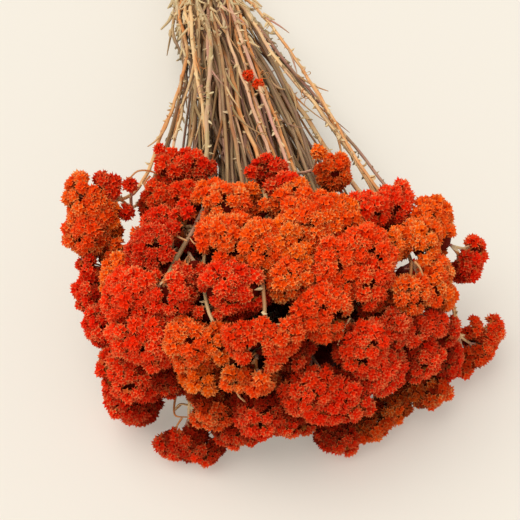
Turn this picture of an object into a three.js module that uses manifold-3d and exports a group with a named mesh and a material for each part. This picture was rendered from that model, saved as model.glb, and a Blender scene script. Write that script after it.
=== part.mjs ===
// A bunch of dried lonas lying on a table, its flower heads in front and its cut stems behind.
//
// A stem of lonas ends in a head: a few domed clusters of small button flowers on short branches.
// The stems are dry straws that still carry the stubs of their leaves. They are gathered three by
// three and bound with twine well behind the heads, which press together into a rounded pile that
// is flat underneath, where it lies.
//
// Millimetres. X runs across the bunch, Y back along the stems from heads to cut ends, Z up.
// The origin is on the table, under the middle of the whole bunch. While the pieces are made it
// is under the middle of the heads instead, and the last step moves them.

import * as THREE from "three";
import { ConvexGeometry } from "three/addons/geometries/ConvexGeometry.js";
import { mergeVertices } from "three/addons/utils/BufferGeometryUtils.js";
import Module from "manifold-3d";

const wasm = await Module();
wasm.setup();

const vec = (x, y, z) => new THREE.Vector3(x, y, z);
const degrees = THREE.MathUtils.degToRad;

// Driving dimensions

const GAP = 0.35; // between neighbouring pieces
const KNOT_ROOM = 0.7; // round the place where the branches of a head meet
const BRANCH_ROOM = 1.05; // round a branch of a head, where it goes into its cluster
const PILE_MIDDLE = vec(0, 0, 32); // the rounded outline that the clusters lie on
const PILE_HALF = vec(82, 57, 52);
const NECK = vec(0, 150, 30); // the heads turn away from about here

const TUFTS_PER_MM2 = 0.0234; // in a cluster, over the square of its spread
const TUFT_HEIGHT = 3.4; // how far a tuft of florets stands out of the dips round it
const FULLNESS = 1.13; // of a cluster over its spread, where nothing presses on it
const DOME_RISE = 0.72; // a cluster's rise over its half width
const DOME_ANGLE = degrees(112); // from its top to its last row of tufts
const BACK_ANGLE = degrees(140); // behind which it has no dips
const TOP_TUFT = 0.3; // of the first step of the spiral of tufts, before the top one
const DIP_OVER_HALF = 0.4; // at most, of a dip's depth over the cluster's half width
const OUTLINE_WAVES = [0.1, 0.07]; // of a cluster's outline, twice and three times round
const TUFT_STRAY = 0.1; // how unlike the reaches of the tufts are
const FACET_SLACK = 0.1; // how far the facets of a head may lie off its shape
const GOLDEN_ANGLE = Math.PI * (3 - Math.sqrt(5));
const BRANCH_RADIUS = 1.6; // where the cluster draws in to it
const BRANCH_ANGLE = degrees(20);
const BRANCH_SIDES = 4;
const KNOT_RADIUS = 2; // where the branches of a head meet
const KNOT_FORWARD = 1; // from the end of the stem
const BRANCH_LENGTH = 5; // of the branch to the nearest cluster, outside the cluster

const STEM_SIDES = 5;
const STEM_RADIUS_CUT = 1.4; // at the cut end
const STEM_RADIUS_HEAD = 1.1; // at the head
const STEM_APART = 3.8; // between the middles of stems that cross
const GROUP_APART = 3.1; // and of the stems of one group, near the tie
const CUT_END_NEAR = 330; // along Y
const CUT_END_FAR = 355;
const CUT_END_SPREAD = 1.22; // of the stems at the cut end over their spread in the tie
const STATIONS_Y = [190, 150, 100, 60, 20, -20]; // where a stem may bend
const WAIST_Y = STATIONS_Y[1]; // as far as here the stems on the left keep together
const WAIST_LEFT = -10; // X from which they do
const WAIST_SPREAD = 0.3; // of what they would lie beyond that, what they keep
const APPROACH = 18; // the last straight stretch into a head
const LAST_BEND = 12; // least way along Y from the last station to that stretch

const TIE_Y = 235;
const TIE_INNER = 17.7;
const TWINE = 2.2;
const TWINE_TURNS = 4;
const GROOVE_OVER_TWINE = 0.3; // how deep it is between two turns
const TIE_OUTER = TIE_INNER + TWINE;
const TIE_Z = TIE_OUTER;
const TIE_SEGMENTS = 18;
const GROUP_ROWS = [2, 4, 3, 4, 2]; // groups in each column inside the tie
const GROUP_COLUMN_STEP = 6.4;
const GROUP_ROW_STEP = 6.7;
const GROUP_RADIUS = 1.85; // from the middle of a group to the middles of its stems
const GROUP_SIZE = 3;

const STUB_RADIUS = 0.9;
const STUB_SHORTEST = 4.5;
const STUB_LONGEST = 10;
const STUB_LEAN = degrees(48); // from the stem
const STUB_ROOM = 2.6; // kept free round a stub's middle and tip
const STUBS_FROM_Y = 80;
const STUBS_TO_Y = 222;
const STUBS_STEP_Y = 47;
const STUB_STRAY_Y = 6;
const STUB_LEAST_SHARE = 0.4; // of its length, next to the heads

const COLOURS = {
  orange: "#e0520f",
  flame: "#d5390f",
  red: "#bd2412",
  dark: "#8a170b",
  stem: "#a9865c",
  twine: "#b39465",
};

// The heads, as the photograph shows them. A cluster is given by the pixel that its middle is
// seen at, counted in a frame of 520 x 520, and by its spread. It lies on the pile's outline, or
// as many millimetres behind it as deep says, or at a given height. A cluster out of sight is
// given by its place. Nod turns a cluster down, off the end of a stem that bends over. Where the
// joint of a head is seen, it is given in the same way, and so is the bend that its stem comes from.

const HEADS = [
  {
    tint: "red",
    clusters: [
      { seen: [172, 168], spread: 18 },
      { seen: [196, 167], spread: 18 },
      { seen: [160, 149], spread: 7 },
    ],
  },
  {
    tint: "orange",
    joint: { seen: [114, 203], deep: 2 },
    from: { seen: [140, 187], deep: 12 },
    clusters: [
      { seen: [93, 203], spread: 23 },
      { seen: [88, 233], spread: 19 },
      { seen: [110, 220], spread: 17 },
    ],
  },
  {
    tint: "dark",
    joint: { seen: [130, 207], deep: 14 },
    from: { seen: [163, 180], deep: 16 },
    clusters: [
      { seen: [108, 189], spread: 12 },
      { seen: [131, 185], spread: 7 },
      { seen: [123, 217], spread: 9 },
    ],
  },
  {
    tint: "orange",
    clusters: [
      { seen: [138, 234], spread: 8 },
      { seen: [118, 256], spread: 16 },
      { seen: [122, 280], spread: 17 },
    ],
  },
  {
    tint: "red",
    clusters: [
      { seen: [93, 268], spread: 12 },
      { seen: [93, 294], spread: 15 },
    ],
  },
  {
    tint: "red",
    clusters: [
      { seen: [148, 336], spread: 26 },
      { seen: [106, 325], spread: 17 },
    ],
  },
  {
    tint: "red",
    clusters: [
      { seen: [135, 374], spread: 23 },
      { seen: [131, 398], spread: 23 },
      { seen: [168, 378], spread: 15, deep: 8 },
    ],
  },
  {
    tint: "red",
    joint: { seen: [189, 421], height: 19 },
    from: { seen: [191, 378], height: 32 },
    clusters: [
      { seen: [178, 443], spread: 15, height: 9 },
      { seen: [203, 446], spread: 16, height: 9 },
      { seen: [190, 435], spread: 12, height: 15 },
    ],
  },
  {
    tint: "orange",
    clusters: [
      { seen: [214, 410], spread: 16 },
      { seen: [209, 388], spread: 16, deep: 8 },
    ],
  },
  {
    tint: "flame",
    clusters: [
      { seen: [163, 203], spread: 18 },
      { seen: [190, 203], spread: 17 },
      { seen: [193, 189], spread: 12 },
    ],
  },
  {
    tint: "red",
    clusters: [
      { seen: [160, 227], spread: 14, deep: 5 },
      { seen: [190, 227], spread: 16, deep: 5 },
    ],
  },
  {
    tint: "dark",
    clusters: [
      { seen: [158, 258], spread: 24 },
      { seen: [195, 266], spread: 14 },
    ],
  },
  {
    tint: "red",
    joint: { seen: [162, 283], deep: -7 },
    from: { seen: [207, 200], deep: 3 },
    clusters: [
      { seen: [140, 303], spread: 28 },
      { seen: [168, 296], spread: 20 },
      { seen: [183, 293], spread: 8 },
    ],
  },
  {
    tint: "orange",
    joint: { seen: [213, 326], deep: 0 },
    from: { seen: [205, 296], deep: 4 },
    clusters: [
      { seen: [192, 345], spread: 20 },
      { seen: [219, 343], spread: 15 },
      { seen: [205, 373], spread: 19, deep: 5 },
    ],
  },
  {
    tint: "red",
    clusters: [
      { seen: [228, 291], spread: 21 },
      { seen: [247, 290], spread: 16 },
      { seen: [206, 315], spread: 12, deep: 6 },
    ],
  },
  {
    tint: "orange",
    clusters: [
      { seen: [228, 215], spread: 21 },
      { seen: [228, 246], spread: 23 },
      { seen: [212, 203], spread: 15 },
    ],
  },
  {
    tint: "orange",
    clusters: [
      { seen: [245, 197], spread: 13 },
      { seen: [261, 209], spread: 9 },
    ],
  },
  {
    tint: "orange",
    clusters: [
      { seen: [258, 250], spread: 22 },
      { seen: [284, 243], spread: 19 },
    ],
  },
  {
    tint: "flame",
    joint: { seen: [265, 318], deep: -9 },
    from: { seen: [264, 285], deep: -2 },
    clusters: [
      { seen: [249, 336], spread: 17, deep: -5, nod: 0.7 },
      { seen: [273, 334], spread: 19, deep: -5, nod: 0.7 },
      { seen: [262, 350], spread: 14, deep: -5, nod: 0.7 },
    ],
  },
  {
    tint: "orange",
    joint: { seen: [255, 361], deep: -4 },
    from: { seen: [257, 342], deep: 4 },
    clusters: [
      { seen: [241, 376], spread: 13, deep: -3, nod: 0.7 },
      { seen: [258, 378], spread: 14, deep: -3, nod: 0.7 },
    ],
  },
  {
    tint: "red",
    clusters: [
      { seen: [240, 425], spread: 19 },
      { seen: [260, 408], spread: 21 },
      { seen: [289, 415], spread: 17 },
    ],
  },
  {
    tint: "red",
    clusters: [
      { seen: [251, 172], spread: 7 },
      { seen: [270, 171], spread: 15 },
      { seen: [284, 187], spread: 11 },
    ],
  },
  {
    tint: "orange",
    clusters: [
      { seen: [281, 206], spread: 12 },
      { seen: [297, 195], spread: 13 },
    ],
  },
  {
    tint: "flame",
    facing: [0.3, -0.85, 0.3],
    clusters: [
      { seen: [248, 75], spread: 8, height: 42 },
      { seen: [258, 84], spread: 8, height: 41 },
    ],
  },
  {
    tint: "orange",
    clusters: [
      { seen: [333, 173], spread: 21 },
      { seen: [318, 152], spread: 7 },
    ],
  },
  {
    tint: "orange",
    clusters: [
      { seen: [311, 226], spread: 23 },
      { seen: [335, 224], spread: 20 },
    ],
  },
  {
    tint: "orange",
    clusters: [
      { seen: [296, 262], spread: 15 },
      { seen: [291, 281], spread: 16 },
    ],
  },
  {
    tint: "flame",
    clusters: [
      { seen: [336, 270], spread: 21 },
      { seen: [362, 258], spread: 25 },
      { seen: [366, 283], spread: 18 },
    ],
  },
  {
    tint: "flame",
    clusters: [
      { seen: [322, 312], spread: 22 },
      { seen: [368, 303], spread: 16, deep: 10 },
    ],
  },
  {
    tint: "dark",
    clusters: [
      { seen: [298, 334], spread: 14, deep: 8 },
      { seen: [288, 357], spread: 14, deep: 4 },
    ],
  },
  {
    tint: "red",
    joint: { seen: [374, 203], deep: 12 },
    from: { seen: [354, 176], deep: 14 },
    clusters: [
      { seen: [365, 212], spread: 18 },
      { seen: [393, 206], spread: 18 },
    ],
  },
  {
    tint: "orange",
    joint: { seen: [405, 233], deep: 14 },
    from: { seen: [380, 194], deep: 14 },
    clusters: [
      { seen: [425, 222], spread: 19 },
      { seen: [418, 248], spread: 18 },
      { seen: [441, 240], spread: 12 },
      { seen: [388, 246], spread: 13 },
    ],
  },
  {
    tint: "red",
    joint: { seen: [453, 247], deep: 0 },
    from: { seen: [425, 233], deep: 18 },
    clusters: [
      { seen: [465, 263], spread: 15 },
      { seen: [474, 250], spread: 9 },
    ],
  },
  {
    tint: "orange",
    joint: { seen: [413, 264], deep: 3 },
    from: { seen: [396, 226], deep: 20 },
    clusters: [
      { seen: [432, 275], spread: 14 },
      { seen: [428, 291], spread: 13 },
      { seen: [407, 296], spread: 16 },
      { seen: [440, 298], spread: 11 },
    ],
  },
  {
    tint: "dark",
    clusters: [
      { seen: [391, 330], spread: 14 },
      { seen: [410, 331], spread: 12 },
      { seen: [428, 326], spread: 14 },
      { seen: [443, 331], spread: 12 },
    ],
  },
  {
    tint: "flame",
    joint: { seen: [460, 336], height: 24 },
    from: { seen: [448, 290], height: 30 },
    clusters: [
      { seen: [468, 330], spread: 11, height: 20 },
      { seen: [487, 333], spread: 14, height: 18 },
      { seen: [479, 350], spread: 13, height: 15 },
      { seen: [463, 362], spread: 9, height: 13 },
    ],
  },
  {
    tint: "red",
    clusters: [
      { seen: [364, 346], spread: 21 },
      { seen: [378, 368], spread: 20 },
    ],
  },
  {
    tint: "red",
    clusters: [
      { seen: [418, 356], spread: 18 },
      { seen: [441, 360], spread: 17 },
    ],
  },
  {
    tint: "orange",
    clusters: [
      { seen: [414, 386], spread: 15 },
      { seen: [433, 391], spread: 13 },
    ],
  },
  {
    tint: "red",
    clusters: [
      { seen: [308, 390], spread: 23 },
      { seen: [336, 394], spread: 24 },
    ],
  },
  {
    tint: "red",
    clusters: [
      { seen: [340, 435], spread: 16 },
      { seen: [330, 421], spread: 13 },
    ],
  },
  {
    tint: "orange",
    clusters: [
      { seen: [388, 402], spread: 17 },
      { seen: [367, 425], spread: 15 },
    ],
  },
  {
    tint: "dark",
    clusters: [
      { at: [0, -5, 7], spread: 26 },
      { at: [-33, -10, 9], spread: 24 },
      { at: [-27, 21, 10], spread: 22 },
      { at: [-58, 8, 15], spread: 21 },
      { at: [-28, 22, 40], spread: 24 },
      { at: [2, -12, 40], spread: 26 },
    ],
  },
  {
    tint: "dark",
    clusters: [
      { at: [34, -10, 9], spread: 24 },
      { at: [26, 21, 10], spread: 22 },
      { at: [58, 8, 15], spread: 22 },
      { at: [30, 4, 42], spread: 26 },
      { at: [2, 34, 40], spread: 22 },
    ],
  },
];

// The direction in which a pixel is seen, from a point in front of the pile and above it

const VIEW_ELEVATION = degrees(55);
const VIEW_AZIMUTH = degrees(11);
const VIEW_DISTANCE = 450;
const FOCAL_PIXELS = 1011;
const FRAME_MIDDLE_PIXEL = [260, 260];
const PILE_MIDDLE_PIXEL = [286, 300];

function sightLine([u, v]) {
  const level = Math.cos(VIEW_ELEVATION);
  const forward = vec(
    Math.sin(VIEW_AZIMUTH) * level,
    Math.cos(VIEW_AZIMUTH) * level,
    -Math.sin(VIEW_ELEVATION),
  );
  const right = vec(Math.cos(VIEW_AZIMUTH), -Math.sin(VIEW_AZIMUTH), 0);
  const up = right.clone().cross(forward);
  return forward
    .multiplyScalar(FOCAL_PIXELS)
    .addScaledVector(right, u - FRAME_MIDDLE_PIXEL[0])
    .addScaledVector(up, FRAME_MIDDLE_PIXEL[1] - v)
    .normalize();
}

const EYE = PILE_MIDDLE.clone().addScaledVector(sightLine(PILE_MIDDLE_PIXEL), -VIEW_DISTANCE);

// How far along a line of sight the pile's outline is, or the nearest point to it.
function outlineDistance(sight) {
  const start = EYE.clone().sub(PILE_MIDDLE).divide(PILE_HALF);
  const along = sight.clone().divide(PILE_HALF);
  const a = along.lengthSq();
  const b = along.dot(start);
  const c = start.lengthSq() - 1;
  return (-b - Math.sqrt(Math.max(b * b - a * c, 0))) / a;
}

// Heads

// A number from 0 to 1 that looks random and is always the same for the same seed.
function chance(seed) {
  const wave = Math.sin(seed * 127.1 + 311.7) * 43758.5453;
  return wave - Math.floor(wave);
}

// The place that is given, no lower than it can be.
function placeOf({ seen, at, height, deep = 0 }, lowest) {
  if (at) return vec(...at);
  const sight = sightLine(seen);
  const distanceAt = (z) => (z - EYE.z) / sight.z;
  const wanted = height === undefined ? outlineDistance(sight) + deep : distanceAt(height);
  const low = EYE.z + sight.z * wanted < lowest;
  return EYE.clone().addScaledVector(sight, low ? distanceAt(lowest) : wanted);
}

const LOWEST_OVER_SPREAD = 0.4; // of a cluster's middle over the table
const BACK_OVER_SPREAD = 0.4; // how far a cluster reaches back to its joint
const SIDEWAYS_SHARE = 0.6; // what a cluster's way out of the head's middle adds to that
const JOINT_LOWEST = 6;
const BEND_LOWEST = 5;
const SEEN_AWAY = 0.8; // how much a cluster in sight turns away from the neck
const SEEN_OUT = 0.35; // and out of the pile
const HIDDEN_AWAY = 0.4;
const HIDDEN_OUT = 0.9;
const STRAY = 0.3;
const LEAST_RISE = -0.35; // of a head that faces the table, over its way along the table

// A cluster faces away from the neck and out of the pile. One out of sight faces mostly out.
function clusterFacing({ at, nod = 0 }, middle, seed) {
  const fromNeck = middle.clone().sub(NECK).normalize();
  const outward = middle.clone().sub(PILE_MIDDLE).divide(PILE_HALF).divide(PILE_HALF).normalize();
  const stray = vec(chance(seed) - 0.5, chance(seed + 1) - 0.5, chance(seed + 2) - 0.5);
  return fromNeck
    .multiplyScalar(at ? HIDDEN_AWAY : SEEN_AWAY)
    .addScaledVector(outward, at ? HIDDEN_OUT : SEEN_OUT)
    .addScaledVector(stray, STRAY)
    .add(vec(0, 0, -nod))
    .normalize();
}

// The joint of a head is where its stem ends and its branches begin. Where it isn't seen it lies
// behind the clusters, clear of their backs.
function layOutHead({ tint, clusters: given, facing: told, joint: seenJoint, from }, index) {
  const clusters = given.map((cluster, k) => {
    const seed = 100 * (index + 1) + 10 * k;
    const middle = placeOf(cluster, LOWEST_OVER_SPREAD * cluster.spread);
    const facing = told ? vec(...told).normalize() : clusterFacing(cluster, middle, seed);
    return { middle, facing, spread: cluster.spread, seed };
  });
  const middle = vec(0, 0, 0);
  const facing = vec(0, 0, 0);
  let weight = 0;
  for (const cluster of clusters) {
    const share = cluster.spread ** 2;
    middle.addScaledVector(cluster.middle, share);
    facing.addScaledVector(cluster.facing, share);
    weight += share;
  }
  middle.divideScalar(weight);
  if (seenJoint) {
    const joint = placeOf(seenJoint, JOINT_LOWEST);
    const bend = placeOf(from, BEND_LOWEST);
    return { tint, clusters, facing: middle.sub(joint).normalize(), joint, bend, index };
  }
  facing.z = Math.max(facing.z, LEAST_RISE * Math.hypot(facing.x, facing.y));
  facing.normalize();
  const reaches = clusters.map(
    (c) => BACK_OVER_SPREAD * c.spread + SIDEWAYS_SHARE * c.middle.distanceTo(middle),
  );
  const joint = middle.addScaledVector(facing, -BRANCH_LENGTH - Math.max(...reaches));
  joint.z = Math.max(joint.z, JOINT_LOWEST);
  const bend = joint.clone().addScaledVector(facing, -APPROACH);
  bend.z = Math.max(bend.z, BEND_LOWEST);
  return { tint, clusters, facing, joint, bend, index };
}

const heads = HEADS.map(layOutHead);
const allClusters = heads.flatMap((head) => head.clusters);

// Stems

// Where a stem that leaves the tie at start is once it has come down to y. It goes straight for
// the bend behind its head, and turns there towards the head. The stems on the left leave the
// others only at the waist.
function routeAt(start, { bend }, y) {
  const waist = start.clone().lerp(bend, (start.y - WAIST_Y) / (start.y - bend.y));
  waist.x = Math.max(waist.x, THREE.MathUtils.lerp(WAIST_LEFT, waist.x, WAIST_SPREAD));
  if (y >= WAIST_Y) return start.clone().lerp(waist, (start.y - y) / (start.y - WAIST_Y));
  return waist.lerp(bend, Math.min((WAIST_Y - y) / (WAIST_Y - bend.y), 1));
}

// Inside the tie the stems are ranked by the way they set off: from left to right in columns,
// and in each column from bottom to top in rows, three stems to a group.
const tieMiddle = vec(0, TIE_Y, TIE_Z);
const ranked = heads.map((head) => {
  const way = routeAt(tieMiddle, head, STATIONS_Y[1]).sub(tieMiddle);
  return { head, across: way.x / -way.y, lift: way.z / -way.y };
});
ranked.sort((a, b) => a.across - b.across);
const groups = [];
GROUP_ROWS.forEach((rows, column) => {
  const inColumn = ranked.splice(0, rows * GROUP_SIZE).sort((a, b) => a.lift - b.lift);
  for (let row = 0; row < rows; row++) {
    const [left, right, top] = inColumn
      .splice(0, GROUP_SIZE)
      .map((one, order) => ({ ...one, order: order === GROUP_SIZE - 1 ? Infinity : one.across }))
      .sort((a, b) => a.order - b.order);
    groups.push({
      x: (column - (GROUP_ROWS.length - 1) / 2) * GROUP_COLUMN_STEP,
      z: (row - (rows - 1) / 2) * GROUP_ROW_STEP,
      members: [top, left, right],
    });
  }
});

function layOutStem(head, group, place) {
  const angle = (place / GROUP_SIZE + 0.25) * 2 * Math.PI;
  const x = group.x + GROUP_RADIUS * Math.cos(angle);
  const z = group.z + GROUP_RADIUS * Math.sin(angle);
  const cutY = THREE.MathUtils.lerp(CUT_END_NEAR, CUT_END_FAR, chance(head.index + 0.5));
  const start = vec(x, TIE_Y, TIE_Z + z);
  const stations = STATIONS_Y.filter((y) => y > head.bend.y + LAST_BEND);
  const points = [
    vec(x * CUT_END_SPREAD, cutY, TIE_Z + z * CUT_END_SPREAD),
    start,
    ...stations.map((y) => routeAt(start, head, y)),
    head.bend,
    head.joint.clone().addScaledVector(head.facing, -KNOT_FORWARD),
  ];
  return { head, group, points };
}

const stems = groups.flatMap((group) =>
  group.members.flatMap((one, place) => (one ? [layOutStem(one.head, group, place)] : [])),
);

// Where a stem crosses the plane at y: its segment there, the share of the way along it, and how
// much longer the segment is than the way it goes along Y.
function crossing(points, y) {
  const next = points.findIndex((point) => point.y < y);
  if (next < 1) return null;
  const [from, to] = [points[next - 1], points[next]];
  const share = (from.y - y) / (from.y - to.y);
  const slant = from.distanceTo(to) / (from.y - to.y);
  return { segment: next - 1, share, slant, at: from.clone().lerp(to, share) };
}

const crossingsAt = (y) =>
  stems
    .map((stem, number) => ({ stem, number, ...crossing(stem.points, y) }))
    .filter(({ at }) => at);

// In front of the tie the stems push each other apart, and off the table, until none touches
// another. The joints of their heads move with them.
const SETTLE_ROUNDS = 100;
const SETTLE_STEP_Y = 6;
const SETTLE_FROM_Y = TIE_Y - 12;
const SETTLE_TO_Y = -60;
const SETTLE_SHARE = 0.3; // of what two stems lack, made up in one round
const LOWEST_STEM = STEM_RADIUS_CUT + 0.5;
for (let round = 0; round < SETTLE_ROUNDS; round++) {
  const pushes = stems.map((stem) => stem.points.map(() => vec(0, 0, 0)));
  for (let y = SETTLE_FROM_Y; y > SETTLE_TO_Y; y -= SETTLE_STEP_Y) {
    const here = crossingsAt(y);
    here.forEach((one, i) => {
      for (const other of here.slice(i + 1)) {
        const apart = one.at.clone().sub(other.at);
        const grouped = one.stem.group === other.stem.group && y > STATIONS_Y[0];
        const wanted = (grouped ? GROUP_APART : STEM_APART) * Math.max(one.slant, other.slant);
        const short = wanted - apart.length();
        if (short <= 0) continue;
        apart.setLength(SETTLE_SHARE * short);
        for (const [{ number, segment, share }, sign] of [
          [one, 1],
          [other, -1],
        ]) {
          const lever = sign / (share ** 2 + (1 - share) ** 2);
          pushes[number][segment].addScaledVector(apart, lever * (1 - share));
          pushes[number][segment + 1].addScaledVector(apart, lever * share);
        }
      }
    });
  }
  stems.forEach(({ points }, number) => {
    points.slice(2).forEach((point, k) => {
      point.x += pushes[number][k + 2].x;
      point.z = Math.max(point.z + pushes[number][k + 2].z, LOWEST_STEM);
    });
  });
}
for (const { head, points } of stems) {
  head.joint.copy(points.at(-1)).addScaledVector(head.facing, KNOT_FORWARD);
}

// Solids

function solid(geometry, matrix = new THREE.Matrix4()) {
  const placed = geometry.clone().applyMatrix4(matrix);
  for (const name of Object.keys(placed.attributes)) {
    if (name !== "position") placed.deleteAttribute(name);
  }
  const merged = mergeVertices(placed, 1e-4);
  const mesh = new wasm.Mesh({
    numProp: 3,
    vertProperties: new Float32Array(merged.attributes.position.array),
    triVerts: new Uint32Array(merged.index.array),
  });
  return new wasm.Manifold(mesh);
}

const joined = (solids) => wasm.Manifold.union(solids);

// The places of a shape made about Y when it stands at a place, with Y turned to a direction.
function standing(place, direction, scale = vec(1, 1, 1)) {
  const turn = new THREE.Quaternion().setFromUnitVectors(vec(0, 1, 0), direction);
  return new THREE.Matrix4().compose(place, turn, scale);
}

// A straight tapered rod between two points.
function rod(from, to, radiusFrom, radiusTo, sides) {
  const way = to.clone().sub(from);
  const geometry = new THREE.CylinderGeometry(radiusTo, radiusFrom, way.length(), sides);
  return solid(geometry, standing(from.clone().lerp(to, 0.5), way.normalize()));
}

// A stem is a tapered tube along its points, each ring turned to the mean of its two directions.
// With extra, the tube is thicker and longer by as much: the room that the stem needs.
function stemTube(points, extra = 0) {
  const steps = points.length - 1;
  const geometry = new THREE.CylinderGeometry(1, 1, 1, STEM_SIDES, steps);
  const position = geometry.attributes.position;
  const ways = points.slice(1).map((point, k) => point.clone().sub(points[k]).normalize());
  const corner = vec(0, 0, 0);
  for (let i = 0; i < position.count; i++) {
    corner.fromBufferAttribute(position, i);
    const ring = Math.round((corner.y + 0.5) * steps);
    const way = ways[Math.min(ring, steps - 1)].clone();
    way.add(ways[Math.max(ring - 1, 0)]).normalize();
    const share = ring / steps;
    const radius = THREE.MathUtils.lerp(STEM_RADIUS_CUT, STEM_RADIUS_HEAD, share) + extra;
    const across = vec(0, 0, 1).cross(way).normalize();
    const over = way.clone().cross(across);
    const beyond = ring === 0 ? -extra : ring === steps ? extra : 0;
    const place = points[ring].clone().addScaledVector(way, beyond);
    place.addScaledVector(across, corner.x * radius).addScaledVector(over, -corner.z * radius);
    position.setXYZ(i, place.x, place.y, place.z);
  }
  return solid(geometry);
}

// The stub of a dried leaf leans forward out of the bunch. It is left out where another stem is
// in its way.
function leafStubs(stem, number) {
  const stubs = [];
  for (let y = STUBS_TO_Y; y > STUBS_FROM_Y; y -= STUBS_STEP_Y) {
    const seed = 7 * number + y;
    const root = crossing(stem.points, y - STUB_STRAY_Y * chance(seed));
    if (!root) continue;
    const here = crossingsAt(y).map(({ at }) => at);
    const middle = here.reduce((sum, at) => sum.add(at), vec(0, 0, 0)).divideScalar(here.length);
    const out = root.at.clone().sub(middle).setY(0).normalize();
    const fromHeads = (y - STUBS_FROM_Y) / (STUBS_TO_Y - STUBS_FROM_Y);
    const most = THREE.MathUtils.lerp(STUB_LEAST_SHARE, 1, fromHeads);
    const length = THREE.MathUtils.lerp(STUB_SHORTEST, STUB_LONGEST, most * chance(seed + 1));
    const way = out.multiplyScalar(Math.sin(STUB_LEAN)).add(vec(0, -Math.cos(STUB_LEAN), 0));
    const tip = root.at.clone().addScaledVector(way, length);
    const free = [0.5, 1].every((share) => {
      const place = root.at.clone().lerp(tip, share);
      const stemsOff = crossingsAt(place.y).every(
        (other) => other.stem === stem || other.at.distanceTo(place) > STUB_ROOM,
      );
      return stemsOff && allClusters.every((c) => c.middle.distanceTo(place) > c.spread);
    });
    if (!free || tip.z < STUB_ROOM) continue;
    const leaf = new THREE.ConeGeometry(STUB_RADIUS, length, 3);
    stubs.push(solid(leaf, standing(root.at.clone().lerp(tip, 0.5), way)));
  }
  return stubs;
}

// The corners of a closed shape round the origin are given by their directions. This joins them
// into triangles, and then moves each corner out along its direction to its place.
function roundShape(places) {
  const ball = places.map((place) => place.clone().normalize());
  const geometry = new ConvexGeometry(ball);
  const position = geometry.attributes.position;
  const corner = vec(0, 0, 0);
  for (let i = 0; i < position.count; i++) {
    corner.fromBufferAttribute(position, i);
    const distances = ball.map((direction) => direction.distanceToSquared(corner));
    const place = places[distances.indexOf(Math.min(...distances))];
    position.setXYZ(i, place.x, place.y, place.z);
  }
  return geometry;
}

// The dips between the peaks of a round shape lie in the middle of each three neighbours.
function dipsBetween(peaks) {
  const position = new ConvexGeometry(peaks).attributes.position;
  const dips = [];
  for (let i = 0; i < position.count; i += 3) {
    const dip = vec(0, 0, 0);
    for (let k = 0; k < 3; k++) dip.add(vec(0, 0, 0).fromBufferAttribute(position, i + k));
    dips.push(dip.normalize());
  }
  return dips;
}

const fromPole = (polar, turn) =>
  vec(Math.sin(polar) * Math.cos(turn), Math.cos(polar), Math.sin(polar) * Math.sin(turn));

// Where a cluster presses on a neighbour or on the table, it ends at a plane.
function pressedPlanes(cluster) {
  const planes = [{ way: vec(0, 0, -1), offset: 0 }];
  for (const neighbour of allClusters) {
    const way = neighbour.middle.clone().sub(cluster.middle);
    const distance = way.length();
    const spreads = cluster.spread + neighbour.spread;
    if (neighbour === cluster || distance > spreads) continue;
    way.divideScalar(distance);
    const here = (distance * cluster.spread) / spreads - GAP / 2;
    planes.push({ way, offset: way.dot(cluster.middle) + here });
  }
  return planes;
}

// A cluster is a rounded dome on a branch. Tufts of florets stand out of it in a spiral, with
// dips between them, and its back draws in to the branch, which ends in the joint of the head.
// What would pass a plane is drawn in towards the cluster's middle.
function clusterSolid(cluster, head) {
  const { middle, facing, spread, seed } = cluster;
  const half = (spread * FULLNESS + TUFT_HEIGHT) / 2;
  const count = Math.max(5, Math.round(TUFTS_PER_MM2 * spread * spread));
  const front = new THREE.Quaternion().setFromUnitVectors(vec(0, 1, 0), facing);
  const tufts = [];
  for (let k = 0; k < count; k++) {
    tufts.push(fromPole(DOME_ANGLE * Math.sqrt((k + TOP_TUFT) / count), k * GOLDEN_ANGLE + seed));
  }
  const dips = dipsBetween([...tufts, vec(0, -1, 0)]).filter((dip) => dip.y > Math.cos(BACK_ANGLE));
  const dipDepth = Math.min(TUFT_HEIGHT, DIP_OVER_HALF * half);
  const places = [...tufts, ...dips].map((direction, k) => {
    const turn = Math.atan2(direction.z, direction.x);
    const [twice, thrice] = OUTLINE_WAVES;
    const wave = 1 + twice * Math.sin(2 * turn + seed) + thrice * Math.sin(3 * turn + 2 * seed);
    const stray = 1 + TUFT_STRAY * (chance(seed + k) - 0.5);
    const reach = (half - (k < count ? 0 : dipDepth)) * wave * stray;
    return direction.clone().multiply(vec(reach, reach * DOME_RISE, reach)).applyQuaternion(front);
  });
  for (const { way, offset } of pressedPlanes(cluster)) {
    const room = offset - way.dot(middle);
    for (const place of places) {
      if (way.dot(place) > room) place.multiplyScalar(room / way.dot(place));
    }
  }
  const branch = head.joint.clone().sub(middle);
  const back = new THREE.Quaternion().setFromUnitVectors(
    vec(0, 1, 0),
    branch.clone().normalize(),
  );
  for (let k = 0; k < BRANCH_SIDES; k++) {
    const foot = fromPole(BRANCH_ANGLE, (k / BRANCH_SIDES) * 2 * Math.PI);
    foot.multiplyScalar(BRANCH_RADIUS / Math.sin(BRANCH_ANGLE));
    places.push(foot.applyQuaternion(back));
  }
  places.push(branch.clone().setLength(branch.length() + KNOT_FORWARD));
  return solid(roundShape(places), new THREE.Matrix4().makeTranslation(middle));
}

function knot({ joint, facing }, extra = 0) {
  const place = joint.clone().addScaledVector(facing, KNOT_FORWARD);
  return solid(new THREE.OctahedronGeometry(KNOT_RADIUS + extra, 0), standing(place, facing));
}

// The room that the branches of a head need where they pass other heads.
function branchRoom(head) {
  const rods = head.clusters.map(({ middle }) =>
    rod(head.joint, middle, BRANCH_RADIUS, BRANCH_RADIUS + BRANCH_ROOM, BRANCH_SIDES),
  );
  return joined([knot(head, KNOT_ROOM), ...rods]);
}

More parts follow.
